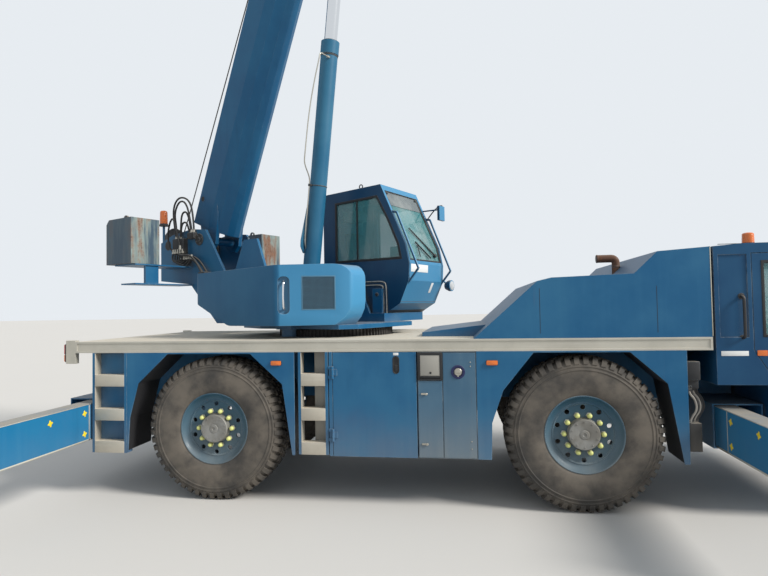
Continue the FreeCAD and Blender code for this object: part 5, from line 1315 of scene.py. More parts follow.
@dataclass
class CarrierTrim:
    """Small parts on the carrier's sides: markers, service panel, locker latch and hoses.

    Attributes:
        side_y: distance of the side panels from the middle.
    """

    side_y: float = 1.280

    def build(self) -> None:
        """Make each group."""
        self._steps()
        self._markers()
        self._locker()
        self._service()
        self._hoses()
        self._bumper()
        self._hood()
        self._exhaust()

    def _steps(self) -> None:
        """Pale boxed steps of the ladders, and the bare inner edges of their rear posts."""
        form = Form("ladder_steps", "carrier", "step_alloy")
        face = -self.side_y
        for x0, x1, heights in ((-2.381, -1.982, (0.470, 0.810, 1.170)), (-0.096, 0.214, (0.500, 0.840, 1.185))):
            for z in heights:
                form.block((x0 + 0.029, face - 0.0025, z - 0.0015), (x1 - 0.029, face + 0.1015, z + 0.1215), 0.004)
            form.block((x0 + 0.0285, face - 0.0008, heights[0]), (x0 + 0.0315, face + 0.1005, 1.520), 0.0006)
        form.mirror().done()
        back = Form("ladder_back", "carrier", "blue_paint")
        back.block((-2.379, face + 0.1005, 0.472), (-1.984, face + 0.1055, 1.543), 0.001)
        back.mirror().done()
        inner = Form("ladder_inner_back", "carrier", "lid_grey")
        inner.block((0.030, face + 0.165, 0.505), (0.190, face + 0.171, 1.520), 0.002)
        inner.mirror().done()

    def _markers(self) -> None:
        """Orange side markers on dark bases."""
        lens = Form("side_markers", "carrier", "orange_lens")
        base = Form("side_marker_bases", "carrier", "trim_plastic")
        for x in (-0.325, 1.834):
            outline = rounded_outline(0.106, 0.044, 0.010, (x, 1.4145))
            lens.slab(outline, -self.side_y - 0.019, -self.side_y - 0.003, soft=0.004)
            base.slab(rounded_outline(0.114, 0.050, 0.012, (x, 1.4145)), -self.side_y - 0.005, -self.side_y + 0.001,
                      soft=0.001)
        lens.mirror().done()
        base.mirror().done()

    def _locker(self) -> None:
        """Oval latch in its recess, and a blank tag above it."""
        face = -self.side_y
        latch = Form("locker_latch", "locker_door", "mesh_black")
        oval = rounded_outline(0.066, 0.176, 0.0329, (0.904, 1.395), 8)
        latch.slab(rounded_outline(0.058, 0.168, 0.0289, (0.904, 1.395), 8), face + 0.0085, face + 0.0115)
        latch.frame(oval, 0.007, face - 0.0025, face + 0.011, soft=0.001)
        latch.block((0.890, face + 0.001, 1.325), (0.925, face + 0.010, 1.392), 0.003)
        latch.done()
        tag = Form("locker_tag", "locker_door", "blank_plate")
        tag.block((0.878, face - 0.0015, 1.489), (0.930, face + 0.0005, 1.514), 0.0006)
        tag.done()

    def _service(self) -> None:
        """Black-framed lid, two latches and the filler."""
        face = -self.side_y
        frame_band = Form("service_lid_frame", "carrier", "mesh_black")
        outline = [(1.116, 1.246), (1.360, 1.246), (1.360, 1.516), (1.116, 1.516)]
        frame_band.frame(outline, 0.027, face - 0.010, face + 0.002, soft=0.002)
        frame_band.block((1.136, face - 0.010, 1.262), (1.340, face + 0.002, 1.288), 0.002)
        frame_band.disc((1.243, face - 0.0075, 1.318), (0, -1, 0), 0.011, 0.005, 0.001)
        frame_band.done()
        lid = Form("service_lid", "carrier", "lid_grey")
        lid.block((1.143, face - 0.0075, 1.290), (1.333, face + 0.002, 1.490), 0.003)
        lid.done()
        latches = Form("service_latches", "carrier", "fitting_steel")
        for z in (1.113, 0.627):
            latches.block((1.146, face - 0.009, z - 0.009), (1.212, face + 0.001, z + 0.009), 0.003)
            latches.disc((1.198, face - 0.009, z - 0.001), (0, -1, 0), 0.012, 0.006, 0.002)
        for z in (1.42, 1.38, 0.66, 0.59):
            latches.disc((1.628, face, z), (0, -1, 0), 0.006, 0.004, 0.001, 12)
        latches.done()
        collar = Form("filler_collar", "carrier", "collar_blue")
        collar.ring((1.509, face + 0.001, 1.326), (0, -1, 0), 0.067, 0.050, 0.007)
        collar.disc((1.509, face + 0.0075, 1.326), (0, -1, 0), 0.054, 0.004)
        collar.done()
        cap = Form("filler_cap", "carrier", "fitting_steel")
        cap.disc((1.509, face + 0.004, 1.326), (0, -1, 0), 0.037, 0.012, 0.004)
        cap.block((1.480, face - 0.016, 1.319), (1.538, face - 0.006, 1.333), 0.003)
        cap.disc((1.509, face - 0.012, 1.288), (0, -1, 0), 0.007, 0.005, 0.001, 12)
        cap.done()

    def _hoses(self) -> None:
        """Clipped hoses between the front panel and the cab."""
        block = Form("front_valve", "carrier", "dark_steel")
        block.block((3.584, -1.262, 1.250), (3.700, -1.120, 1.420), 0.006)
        block.block((3.600, -1.240, 1.170), (3.690, -1.140, 1.252), 0.006)
        block.block((3.590, -1.262, 0.600), (3.700, -1.120, 0.860), 0.008)
        hoses = Form("front_hoses", "carrier", "hose_rubber")
        pale = Form("front_sleeves", "carrier", "sleeve_grey")
        for index in range(5):
            x, y = 3.596 + 0.024 * index, -1.252 + 0.022 * index
            path = [(x, y, 1.19), (x, y, 1.13), (x + 0.055, y + 0.01, 1.08), (x + 0.07, y, 0.98),
                    (x + 0.01, y, 0.90), (x, y, 0.85)]
            (pale if index in (0, 2) else hoses).pipe(path, 0.0105)
            block.turned([(0, 0), (0.016, 0), (0.016, 0.018), (0.013, 0.020), (0.013, 0.045), (0, 0.045)],
                         (x, y, 1.152), steps=6)
            block.turned([(0, 0), (0.016, 0), (0.016, 0.018), (0.013, 0.020), (0.013, 0.035), (0, 0.035)],
                         (x, y, 0.848), steps=6)
        block.done()
        hoses.done()
        pale.done()

    def _bumper(self) -> None:
        """Lamps at both ends, and blank plates."""
        rims = Form("lamp_bodies", "carrier", "trim_plastic")
        glass = Form("head_lamps", "carrier", "clear_lens")
        red = Form("tail_lenses", "carrier", "red_lens")
        amber = Form("turn_lenses", "carrier", "orange_lens")
        for y in (-0.900, -1.080):
            rims.ring((5.440, y, 0.600), (1, 0, 0), 0.078, 0.064, 0.020)
            rims.disc((5.424, y, 0.600), (1, 0, 0), 0.075, 0.020)
            glass.turned([(0.066, 0.018), (0.064, 0.024), (0.050, 0.031), (0.028, 0.036), (0, 0.038), (0, 0.018)],
                         (5.424, y, 0.600), (1, 0, 0), 40)
        rims.block((-2.712, -1.276, 1.428), (-2.695, -1.224, 1.622), 0.003)
        red.block((-2.726, -1.272, 1.512), (-2.711, -1.228, 1.616), 0.004)
        amber.block((-2.726, -1.272, 1.434), (-2.711, -1.228, 1.506), 0.004)
        for form in (rims, red, amber):
            form.mirror().done()
        glass.mirror().done("lamps")
        plates = Form("number_plates", "carrier", "blank_plate")
        plates.block((5.4735, -0.26, 0.545), (5.4765, 0.26, 0.655), 0.0008)
        plates.done()

    def _hood(self) -> None:
        """Bright folded edge at the front of the hood, and dark seams on its sides."""
        edge = Form("hood_edge", "carrier", "edge_cream")
        edge.block((3.8065, -1.2818, 1.652), (3.8145, -1.2740, 2.466), 0.001)
        edge.mirror().done()
        seams = Form("hood_seams", "carrier", "seam_dark")
        for x in (2.290, 3.340):
            seams.block((x, -1.2806, 1.690), (x + 0.005, -1.2790, 2.12), 0.0)
        seams.mirror().done()

    def _exhaust(self) -> None:
        """Rusty bent pipe with a closed end, and a black disc on it that paints the open end: soot and painted shade.
        """
        y = -0.280
        form = Form("exhaust_pipe", "carrier", "rusty_steel")
        form.pipe([(3.235, y, 2.08), (3.235, y, 2.34), (3.235, y, 2.458), (3.13, y, 2.458), (3.034, y, 2.458)], 0.043,
                  3, 5)
        form.ring((3.046, y, 2.458), (-1, 0, 0), 0.0450, 0.038, 0.016)
        form.ring((3.235, y, 2.225), (0, 0, 1), 0.0450, 0.030, 0.020)
        form.ring((3.235, y, 2.360), (0, 0, 1), 0.0450, 0.030, 0.014)
        form.done("exhaust")
        # Black disc in the mouth: soot, and painted shade of the bore.
        dark = Form("exhaust_mouth", "carrier", "mesh_black")
        dark.disc((3.036, y, 2.458), (-1, 0, 0), 0.038, 0.003, 0.001)
        dark.done()


@dataclass
class Cushion:
    """Crowned seat pad with sewn channels.

    Attributes:
        name: name of the piece.
        body: body that carries it.
        axes: its own axes: X along the seat, Y across, Z out of it.
        size: its three sides.
        channels: places of the seams, as shares of half its length.
    """

    name: str
    body: str
    axes: Matrix
    size: Point
    channels: Sequence[float] = (-0.45, 0.05, 0.5)
    cuts: int = 29

    def build(self) -> bpy.types.Object:
        form = Form(self.name, self.body, "seat_cloth", self.axes)
        part = bmesh.new()
        bmesh.ops.create_cube(part, size=2.0)
        bmesh.ops.subdivide_edges(part, edges=part.edges[:], cuts=self.cuts, use_grid_fill=True)
        for vert in part.verts:
            vert.co = self._shape(vert.co)
        form.merge(part)
        piece = form.done()
        return piece

    def _shape(self, spot: Vector) -> Vector:
        """Turn a point of a cube into one of the crowned pad."""
        power = 5.0
        stretch = sum(abs(value) ** power for value in spot) ** (1 / power)
        u, v, w = (value / max(stretch, 1e-6) for value in spot)
        crown = 0.80 + 0.20 * (1 - u * u) * (1 - v * v)
        if w > 0:
            seam = sum(math.exp(-((u - place) / 0.055) ** 2) for place in self.channels)
            border = math.exp(-((abs(v) - 0.74) / 0.05) ** 2)
            w *= crown - 0.12 * min(1.0, seam) * (abs(v) < 0.74) - 0.10 * border
        waist = 1 - 0.025 * (1 - u * u)
        length, width, thick = self.size
        return Vector((u * length / 2 * (1 - 0.02 * (1 - v * v)), v * width / 2 * waist, w * thick / 2))


@dataclass
class Seat:
    """Seat of a cab: pads on a base with a head rest.

    Attributes:
        name: start of its pieces' names.
        body: body that carries it.
        axes: axes of the cab.
        middle: Y of its middle.
        base: X range and Z range of its base.
        pad: X range and Z range of its cushion.
        back: lower and upper point of the back rest's face, in X and Z.
        arms: whether it has arm rests.
        stands_for: the fixed nodes that its base stands for.
    """

    name: str
    body: str
    axes: Matrix
    middle: float
    base: Point
    pad: Point
    back: Point
    arms: bool = False
    stands_for: Tuple[str, ...] = ()

    def build(self) -> None:
        """Make base, pads and arms."""
        x0, x1, z0, z1 = self.base
        frame_form = Form(f"{self.name}_base", self.body, "trim_plastic", self.axes)
        mid = self.middle
        frame_form.slab([(x0, z0), (x1, z0), (x1 - 0.05, z1), (x0 + 0.03, z1)], mid - 0.15, mid + 0.15, soft=0.012)
        for side in (-1, 1):
            frame_form.block((x0 - 0.03, mid + side * 0.165 - 0.015, z0), (x1 + 0.02, mid + side * 0.165 + 0.015,
                                                                        z0 + 0.03), 0.004)
        px0, px1, pz0, pz1 = self.pad
        frame_form.block((px0 + 0.03, mid - 0.20, pz0 - 0.008), (px1 - 0.03, mid + 0.20, pz0 + 0.025), 0.008)
        low, high = Vector((self.back[0], 0, self.back[1])), Vector((self.back[2], 0, self.back[3]))
        rise = (high - low).normalized()
        out = Vector((0, 1, 0)).cross(rise)
        shell = [low - out * 0.060, low - out * 0.085, high - out * 0.080, high - out * 0.055]
        frame_form.slab([(point.x, point.z) for point in shell], mid - 0.20, mid + 0.20, soft=0.010)
        if self.arms:
            for side in (-1, 1):
                y = mid + side * 0.29
                frame_form.block((-0.18, y - 0.042, 0.600), (0.16, y + 0.042, 0.660), 0.015)
                frame_form.block((-0.14, y - 0.030, 0.445), (0.02, y + 0.030, 0.605), 0.010)
                frame_form.block((-0.12, mid + min(0.19 * side, 0.28 * side), 0.450),
                                 (-0.04, mid + max(0.19 * side, 0.28 * side), 0.500), 0.008)
                frame_form.turned([(0, 0), (0.020, 0), (0.016, 0.02), (0.007, 0.03), (0.007, 0.10), (0.016, 0.11),
                                   (0.019, 0.135), (0.010, 0.150), (0, 0.152)], (0.12, y, 0.655), steps=20)
        frame_form.done(*self.stands_for)
        centre = Vector(((px0 + px1) / 2, mid, (pz0 + pz1) / 2))
        Cushion(f"{self.name}_pad", self.body, self.axes @ Matrix.Translation(centre),
                (px1 - px0, 0.46, pz1 - pz0)).build()
        place = Matrix((rise, Vector((0, -1, 0)), rise.cross(Vector((0, -1, 0))))).transposed().to_4x4()
        spot = Matrix.Translation((low + high) / 2 + Vector((0, mid, 0)))
        Cushion(f"{self.name}_back", self.body, self.axes @ spot @ place, ((high - low).length, 0.44, 0.115)).build()


@dataclass
class DriverCab:
    """Trim of the low cab at the front, inside and out.

    Attributes:
        side_y: distance of the door faces from the middle.
    """

    side_y: float = 1.280
    window: Tuple[Point, ...] = ((4.230, 1.640), (4.230, 2.330), (4.985, 2.330), (5.020, 2.290), (5.150, 1.640))

    def build(self) -> None:
        """Make each group."""
        for side in Side:
            self._door(side)
        self._rear_corner()
        self._front()
        self._mirrors()
        self._beacon()
        self._inside()

    def _door(self, side: Side) -> None:
        """Window seal, pane, grip and reflector of one door."""
        name = side.name.lower()
        body = f"driver_door_{name}"
        y = [value * side.value for value in (self.side_y - 0.030, self.side_y - 0.024, self.side_y - 0.004,
                                             self.side_y + 0.004, self.side_y)]
        seal = Form(f"driver_window_seal_{name}", body, "mesh_black")
        seal.frame(self.window, 0.024, *sorted((y[0], y[3])), soft=0.002)
        seal.done()
        pane = Form(f"driver_window_{name}", body, "window_glass")
        pane.slab(self.window, *sorted((y[0] + 0.006 * side.value, y[1] + 0.005 * side.value)))
        pane.done()
        grip = Form(f"driver_grip_{name}", body, "trim_plastic")
        outer = y[4] + 0.034 * side.value
        grip.block((4.330, min(y[4], y[4] + 0.006 * side.value), 1.385),
                   (4.490, max(y[4], y[4] + 0.006 * side.value), 1.435), 0.003)
        grip.pipe([(4.345, y[4], 1.410), (4.352, outer - 0.012 * side.value, 1.410), (4.410, outer - 0.008 * side.value,
                                                                                  1.410),
                   (4.468, outer - 0.012 * side.value, 1.410), (4.475, y[4], 1.410)], 0.008)
        grip.done()
        amber = Form(f"driver_reflector_{name}", body, "orange_lens")
        amber.block((4.174, min(y[4], y[4] + 0.005 * side.value), 1.472),
                    (4.258, max(y[4], y[4] + 0.005 * side.value), 1.522), 0.002)
        amber.done()

    def _rear_corner(self) -> None:
        """Grab bar, pale strip and seams behind the door."""
        face = -self.side_y
        bar = Form("cab_grab_bars", "carrier", "trim_plastic")
        bar.pipe([(4.062, face + 0.012, 1.632), (4.062, face - 0.038, 1.636), (4.062, face - 0.046, 1.680),
                  (4.062, face - 0.046, 1.82), (4.062, face - 0.046, 1.965), (4.062, face - 0.038, 2.006),
                  (4.062, face + 0.012, 2.010)], 0.0135, 3, 4)
        for z in (1.632, 2.010):
            bar.disc((4.062, face + 0.012, z), (0, -1, 0), 0.028, 0.008, 0.002)
        bar.mirror().done()
        strip = Form("cab_strips", "carrier", "blank_plate")
        strip.block((3.874, face - 0.0020, 1.472), (4.103, face + 0.0005, 1.516), 0.0006)
        strip.mirror().done()
        rail = Form("cab_roof_rails", "carrier", "seam_dark")
        rail.block((3.900, face + 0.050, 2.4885), (5.060, face + 0.062, 2.4935), 0.001)
        rail.mirror().done()

    def _front(self) -> None:
        """Screen seal, wipers and grille."""
        seal = Form("screen_seal", "carrier", "mesh_black")
        run = Vector((5.195 - 5.384, 0, 2.375 - 1.620))
        tilt = axes_of((0, 1, 0), run, (5.384, 0, 1.620))
        length = run.length
        seal_axes = tilt
        outline = [(-1.128, 0.004), (1.128, 0.004), (1.128, length - 0.004), (-1.128, length - 0.004)]
        flat = Form("flat", "carrier", "mesh_black", seal_axes)
        flat.frame(outline, 0.030, 0.002, 0.022, "XY", 0.003)
        flat.name = seal.name
        seal.mesh.free()
        flat.done()
        wipers = Form("screen_wipers", "carrier", "trim_plastic", seal_axes)
        for y in (-0.62, 0.42):
            wipers.disc((y, 0.035, 0.006), (0, 0, -1), 0.020, 0.006, 0.002)
            wipers.pipe([(y, 0.035, 0.000), (y + 0.18, 0.30, 0.003), (y + 0.20, 0.40, 0.006)], 0.006)
            wipers.block((y - 0.12, 0.385, 0.004), (y + 0.46, 0.397, 0.014), 0.002)
            wipers.pipe([(y - 0.08, 0.391, 0.003), (y + 0.20, 0.402, 0.001), (y + 0.42, 0.391, 0.003)], 0.004)
        wipers.done()
        grille = Form("front_grille", "carrier", "mesh_black")
        grille.frame([(-0.66, 1.000), (0.66, 1.000), (0.66, 1.360), (-0.66, 1.360)], 0.022, 5.3835, 5.392, "YZ", 0.003)
        grille.block((5.3835, -0.64, 1.02), (5.3850, 0.64, 1.34), 0.0)
        for index in range(9):
            z = 1.040 + 0.034 * index
            grille.slab([(5.3840, z), (5.3915, z + 0.004), (5.3915, z + 0.010), (5.3840, z + 0.020)], -0.645, 0.645)
        grille.done()

    def _mirrors(self) -> None:
        """Mirror glass in dark frames, on the rear faces of the mirror bodies."""
        glass = Form("cab_mirror_glass", "carrier", "mirror_glass")
        rim = Form("cab_mirror_frames", "carrier", "trim_plastic")
        outline = [(-y, z) for y, z in rounded_outline(0.166, 0.376, 0.03, (1.465, 2.060))]
        glass.slab(outline, 5.3225, 5.3250, "YZ")
        rim.frame([(-y, z) for y, z in rounded_outline(0.186, 0.396, 0.04, (1.465, 2.060))], 0.014, 5.3205, 5.3260,
                  "YZ", 0.001)
        glass.mirror().done()
        rim.mirror().done()

    def _beacon(self) -> None:
        """Orange roof beacon on a black foot."""
        low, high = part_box("driver_beacon")
        make_beacon("cab_beacon", "carrier", GROUND_AXES, Vector(((low.x + high.x) / 2, (low.y + high.y) / 2, low.z)),
                    0.058, high.z - low.z, "driver_beacon")

    def _inside(self) -> None:
        """Seats, dash and steering wheel."""
        for side in Side:
            Seat(f"driver_seat_{side.name.lower()}", "carrier", GROUND_AXES, 0.62 * side.value,
                 (4.48, 4.86, 0.79, 1.17), (4.42, 4.91, 1.180, 1.300), (4.470, 1.300, 4.400, 1.900)).build()
        dash = Form("driver_dash", "carrier", "trim_plastic")
        dash.slab([(5.085, 1.500), (5.130, 1.560), (5.296, 1.530), (5.338, 1.400), (5.338, 1.155), (5.200, 1.155)],
                  -1.236, 1.236, soft=0.018)
        dash.slab([(5.060, 1.470), (5.110, 1.585), (5.180, 1.600), (5.200, 1.520)], 0.40, 0.84, soft=0.012)
        dash.pipe([(5.200, 0.62, 1.440), (4.992, 0.62, 1.553)], 0.026, 2)
        dash.done("driver_cab_interior")
        wheel = Form("steering_wheel", "carrier", "trim_plastic")
        normal = Vector((-0.55, 0, 1)).normalized()
        centre = Vector((4.990, 0.62, 1.560))
        grip = [(0.195 + 0.014 * math.cos(t * math.pi / 6), 0.014 * math.sin(t * math.pi / 6)) for t in range(12)]
        wheel.turned(grip, centre, normal, 56, closed=True)
        wheel.disc(centre - normal * 0.012, normal, 0.055, 0.024, 0.006)
        side_way = Vector((0, 1, 0))
        along = normal.cross(side_way)
        for turn in (0.0, 2.2, 4.08):
            way = side_way * math.cos(turn) + along * math.sin(turn)
            wheel.pipe([centre + way * 0.04, centre + way * 0.19], 0.010, 2)
        wheel.done()


def make_beacon(name: str, body: str, axes: Matrix, foot: Vector, radius: float, height: float,
                *replaced: str) -> None:
    """Make a beacon of a ribbed orange dome on a black foot.

    Args:
        name: start of its pieces' names.
        body: body that carries it.
        axes: axes in which it stands.
        foot: middle of its underside.
        radius: of the dome.
        height: whole height.
        replaced: the fixed nodes that it stands for.
    """
    base = Form(f"{name}_foot", body, "trim_plastic", axes)
    base.turned([(0, 0), (radius, 0), (radius, height * 0.10), (radius * 0.90, height * 0.16),
                 (radius * 0.60, height * 0.17), (0, height * 0.17)], foot, steps=40)
    base.done()
    dome = Form(f"{name}_dome", body, "orange_lens", axes)
    profile = [(radius * 0.86, height * 0.16)]
    for ring_index in range(7):
        level = height * (0.19 + 0.10 * ring_index)
        width = radius * (0.915 - 0.008 * ring_index)
        profile += [(width, level), (width * 0.985, level + height * 0.05)]
    profile += [(radius * 0.85, height * 0.90), (radius * 0.70, height * 0.965), (radius * 0.40, height), (0, height)]
    dome.turned(profile, foot, steps=48)
    dome.done(*replaced)


@dataclass
class UpperWorks:
    """Trim of the turntable: winch, hoses, tower edges, housing, weights and rear beacon.

    Attributes:
        drum: radius of the bare drum.
        winch: X and Z of its shaft.
        rope: half the rope's thickness.
    """

    drum: float = 0.200
    winch: Point = (-2.806, 1.130)
    rope: float = 0.008

    def build(self) -> None:
        """Make each group."""
        self._winch()
        self._hoses()
        self._tower_edges()
        self._housing()
        self._weights()
        self._slew_drive()
        make_beacon("upper_beacon", "upperworks", UPPER_AXES, Vector((-2.940, -0.370, 1.4285)), 0.0625, 0.2335)

    def _winch(self) -> None:
        """Drum full of rope between two ribbed flanges."""
        shaft = Vector((self.winch[0], 0, self.winch[1]))
        wound = Form("winch_rope", "upperworks", "rope_wire", UPPER_AXES)
        pitch = self.rope * 2.05
        turns = int(0.56 / pitch)
        profile: List[Point] = [(0.12, -0.284)]
        for index in range(turns):
            level = -0.28 + pitch * (index + 0.5)
            for step in range(4):
                angle = math.pi * (step + 0.5) / 4
                profile.append((self.drum + 0.018 + self.rope * math.sin(angle),
                                level - self.rope * math.cos(angle)))
        profile.append((0.12, 0.284))
        wound.turned(profile, shaft, (0, 1, 0), 64)
        wound.done("winch")
        sides = Form("winch_flanges", "upperworks", "dark_steel", UPPER_AXES)
        for way in (-1, 1):
            sides.turned([(0.07, 0), (0.250, 0), (0.264, 0.006), (0.264, 0.018), (0.250, 0.024), (0.185, 0.024),
                          (0.175, 0.030), (0.07, 0.030)], shaft + Vector((0, 0.288 * way, 0)), (0, way, 0), 56)
            sides.disc(shaft + Vector((0, 0.300 * way, 0)), (0, way, 0), 0.092, 0.048, 0.006, 40)
            for index in range(8):
                turn = math.pi / 4 * index
                sides.disc(shaft + Vector((0.140 * math.cos(turn), 0.314 * way, 0.140 * math.sin(turn))),
                           (0, way, 0), 0.012, 0.012, 0.001, 6)
        sides.disc(shaft + Vector((0, -0.388, 0)), (0, -1, 0), 0.070, 0.004, 0.001, 40)
        sides.done()

    def _hoses(self) -> None:
        """Black hoses that loop over the winch and run down the tower to the housing."""
        hoses = Form("upper_hoses", "upperworks", "hose_rubber", UPPER_AXES)
        ends = Form("hose_fittings", "upperworks", "fitting_steel", UPPER_AXES)
        bank = Form("hose_bank", "upperworks", "dark_steel", UPPER_AXES)
        bank.block((-2.60, -0.470, 0.98), (-2.36, -0.388, 1.200), 0.008)
        bank.block((-2.300, -0.450, 1.180), (-2.150, -0.388, 1.270), 0.006)
        bank.block((-2.40, -0.455, 0.840), (-2.28, -0.388, 0.930), 0.006)
        loops = [
            [(-2.56, -0.43, 1.19), (-2.60, -0.44, 1.42), (-2.62, -0.44, 1.66), (-2.50, -0.44, 1.80),
             (-2.30, -0.43, 1.76), (-2.20, -0.42, 1.58), (-2.18, -0.42, 1.26)],
            [(-2.52, -0.44, 1.19), (-2.54, -0.45, 1.40), (-2.56, -0.46, 1.58), (-2.46, -0.46, 1.73),
             (-2.34, -0.45, 1.72), (-2.26, -0.44, 1.56), (-2.21, -0.43, 1.26)],
            [(-2.48, -0.42, 1.19), (-2.46, -0.43, 1.40), (-2.42, -0.44, 1.56), (-2.32, -0.44, 1.58),
             (-2.26, -0.43, 1.44), (-2.24, -0.42, 1.26)],
            [(-2.44, -0.44, 1.19), (-2.43, -0.45, 1.32), (-2.38, -0.46, 1.42), (-2.30, -0.45, 1.42),
             (-2.27, -0.44, 1.32), (-2.27, -0.42, 1.26)],
            [(-2.57, -0.46, 1.00), (-2.66, -0.48, 1.08), (-2.72, -0.46, 1.26), (-2.68, -0.46, 1.44),
             (-2.58, -0.47, 1.52), (-2.50, -0.48, 1.34), (-2.42, -0.47, 1.05)],
        ]
        for index in range(5):
            x, drop = -2.585 + 0.052 * index, 0.02 * index
            loops.append([(x, -0.462, 1.000), (x - 0.01, -0.485, 0.930 - drop), (x + 0.06, -0.492, 0.860 - drop),
                          (x + 0.14, -0.485, 0.880 - drop), (x + 0.20, -0.465, 0.905)])
        for path in loops:
            hoses.pipe(path, 0.013)
            for spot in (path[0], path[-1]):
                ends.turned([(0, 0), (0.021, 0), (0.021, 0.022), (0.017, 0.026), (0.016, 0.060), (0, 0.060)],
                            Vector(spot) - Vector((0, 0, 0.012)), steps=6)
        falls = [
            [(-2.37, -0.45, 0.88), (-2.26, -0.47, 0.90), (-2.08, -0.47, 0.86), (-1.92, -0.46, 0.66),
             (-1.82, -0.46, 0.48), (-1.76, -0.47, 0.36), (-1.60, -0.47, 0.26), (-1.16, -0.48, 0.30)],
            [(-2.37, -0.43, 0.91), (-2.26, -0.45, 0.94), (-2.06, -0.45, 0.90), (-1.87, -0.44, 0.68),
             (-1.76, -0.44, 0.50), (-1.68, -0.45, 0.38), (-1.56, -0.45, 0.31), (-1.16, -0.46, 0.34)],
            [(-2.50, -0.46, 1.00), (-2.40, -0.48, 0.95), (-2.16, -0.49, 0.95), (-1.96, -0.49, 0.74),
             (-1.86, -0.48, 0.54), (-1.78, -0.49, 0.42), (-1.62, -0.49, 0.33), (-1.16, -0.50, 0.38)],
        ]
        for index, path in enumerate(falls):
            hoses.pipe(path, 0.014)
            spot, after = Vector(path[3]), Vector(path[4])
            way = (after - spot).normalized()
            ends.turned([(0, 0), (0.022, 0), (0.022, 0.030), (0.018, 0.034), (0.018, 0.060), (0.022, 0.064),
                         (0.022, 0.092), (0, 0.092)], spot.lerp(after, 0.15 + 0.1 * index), way, 6)
        bank.block((-1.99, -0.505, 0.640), (-1.85, -0.388, 0.700), 0.005,)
        hoses.done()
        ends.done()
        bank.done()

    def _tower_edges(self) -> None:
        """Bright worn edges of the two tower plates, and bolts of the base plate."""
        form = Form("tower_edges", "upperworks", "worn_edge", UPPER_AXES)
        top, low = Vector((-1.980, 0, 1.295)), Vector((-1.560, 0, 0.635))
        run = (low - top).normalized()
        away = Vector((-run.z, 0, run.x))
        for y0, y1 in ((-0.3895, -0.3505), (0.3505, 0.3895)):
            corners = [top + run * 0.03, low - run * 0.03, low - run * 0.03 - away * 0.002, top + run * 0.03 - away * 0.002]
            form.slab([(spot.x, spot.z) for spot in corners], y0, y1, soft=0.0)
        form.done()
        pins = Form("foot_pin_caps", "upperworks", "dark_steel", UPPER_AXES)
        for way in (-1, 1):
            pins.disc((-2.100, 0.388 * way, 1.165), (0, way, 0), 0.082, 0.016, 0.004, 40)
            pins.disc((-2.100, 0.402 * way, 1.165), (0, way, 0), 0.030, 0.012, 0.003, 24)
            for index in range(4):
                turn = math.pi / 2 * index + 0.4
                pins.disc((-2.100 + 0.058 * math.cos(turn), 0.403 * way, 1.165 + 0.058 * math.sin(turn)),
                          (0, way, 0), 0.009, 0.007, 0.001, 6)
        pins.done()

    def _housing(self) -> None:
        """Folded housing with its rounded rim, bent chrome grip in a recess, and fine mesh over the grille."""
        turn = axes_of((0.580, 0.570, 0), (-0.570, 0.580, 0), (0.150, -1.200, 0))
        face = UPPER_AXES @ turn
        shell = Form("housing_shell", "upperworks", "housing_paint", UPPER_AXES)
        plan = [(-1.150, -0.392), (-1.150, -1.200), (0.150, -1.200), (0.730, -0.630), (0.730, -0.392)]
        shell.slab(rounded_corners(plan, (0, 0.06, 0.11, 0.09, 0)), 0.0, 0.655, "XY")
        side = [(-1.150, 0.265), (-0.590, 0.0), (0.590, 0.0), (0.670, 0.080), (0.715, 0.170), (0.730, 0.260),
                (0.730, 0.655), (0.553, 0.655), (-1.150, 0.607)]
        bounds = Form("bounds", "", "blue_paint")
        bounds.slab(rounded_corners(side, (0.08, 0.20, 0, 0, 0, 0, 0.15, 0, 0.06)), -1.3, -0.3)
        shell.carve(bounds, "INTERSECT").round_rims(0.042)
        fields = Form("fields", "", "blue_paint")
        fields.slab(rounded_outline(0.122, 0.395, 0.050, (0.084, 0.3225)), -0.03, 0.045, turn=turn)
        fields.slab(rounded_outline(0.355, 0.358, 0.008, (0.4495, 0.344)), -0.03, 0.012, turn=turn)
        shell.carve(fields).done("side_housing")
        field = Form("grille_field", "upperworks", "seam_dark", face)
        field.block((0.270, 0.0095, 0.163), (0.629, 0.0135, 0.525))
        field.done()
        grip = Form("housing_grip", "upperworks", "chrome_rod", face)
        grip.pipe([(0.086, 0.042, 0.175), (0.084, 0.010, 0.180), (0.082, -0.004, 0.205), (0.078, -0.006, 0.320),
                   (0.082, -0.004, 0.440), (0.084, 0.010, 0.465), (0.086, 0.042, 0.470)], 0.0125, 3, 5)
        grip.done()
        mesh = Form("grille_mesh", "upperworks", "mesh_blue", face)
        mesh.frame([(0.269, 0.162), (0.630, 0.162), (0.630, 0.526), (0.269, 0.526)], 0.012, -0.002, 0.010, soft=0.001)
        for index in range(30):
            along = 0.278 + 0.0119 * index
            mesh.block((along, 0.0005, 0.166), (along + 0.0026, 0.0030, 0.522))
        for index in range(30):
            height = 0.170 + 0.0120 * index
            mesh.block((0.272, -0.0015, height), (0.627, 0.0010, height + 0.0026))
        mesh.done()
        seam = Form("housing_seams", "upperworks", "seam_dark", UPPER_AXES)
        seam.block((-1.1512, -1.150, 0.268), (-1.1495, -0.430, 0.272))
        seam.done()

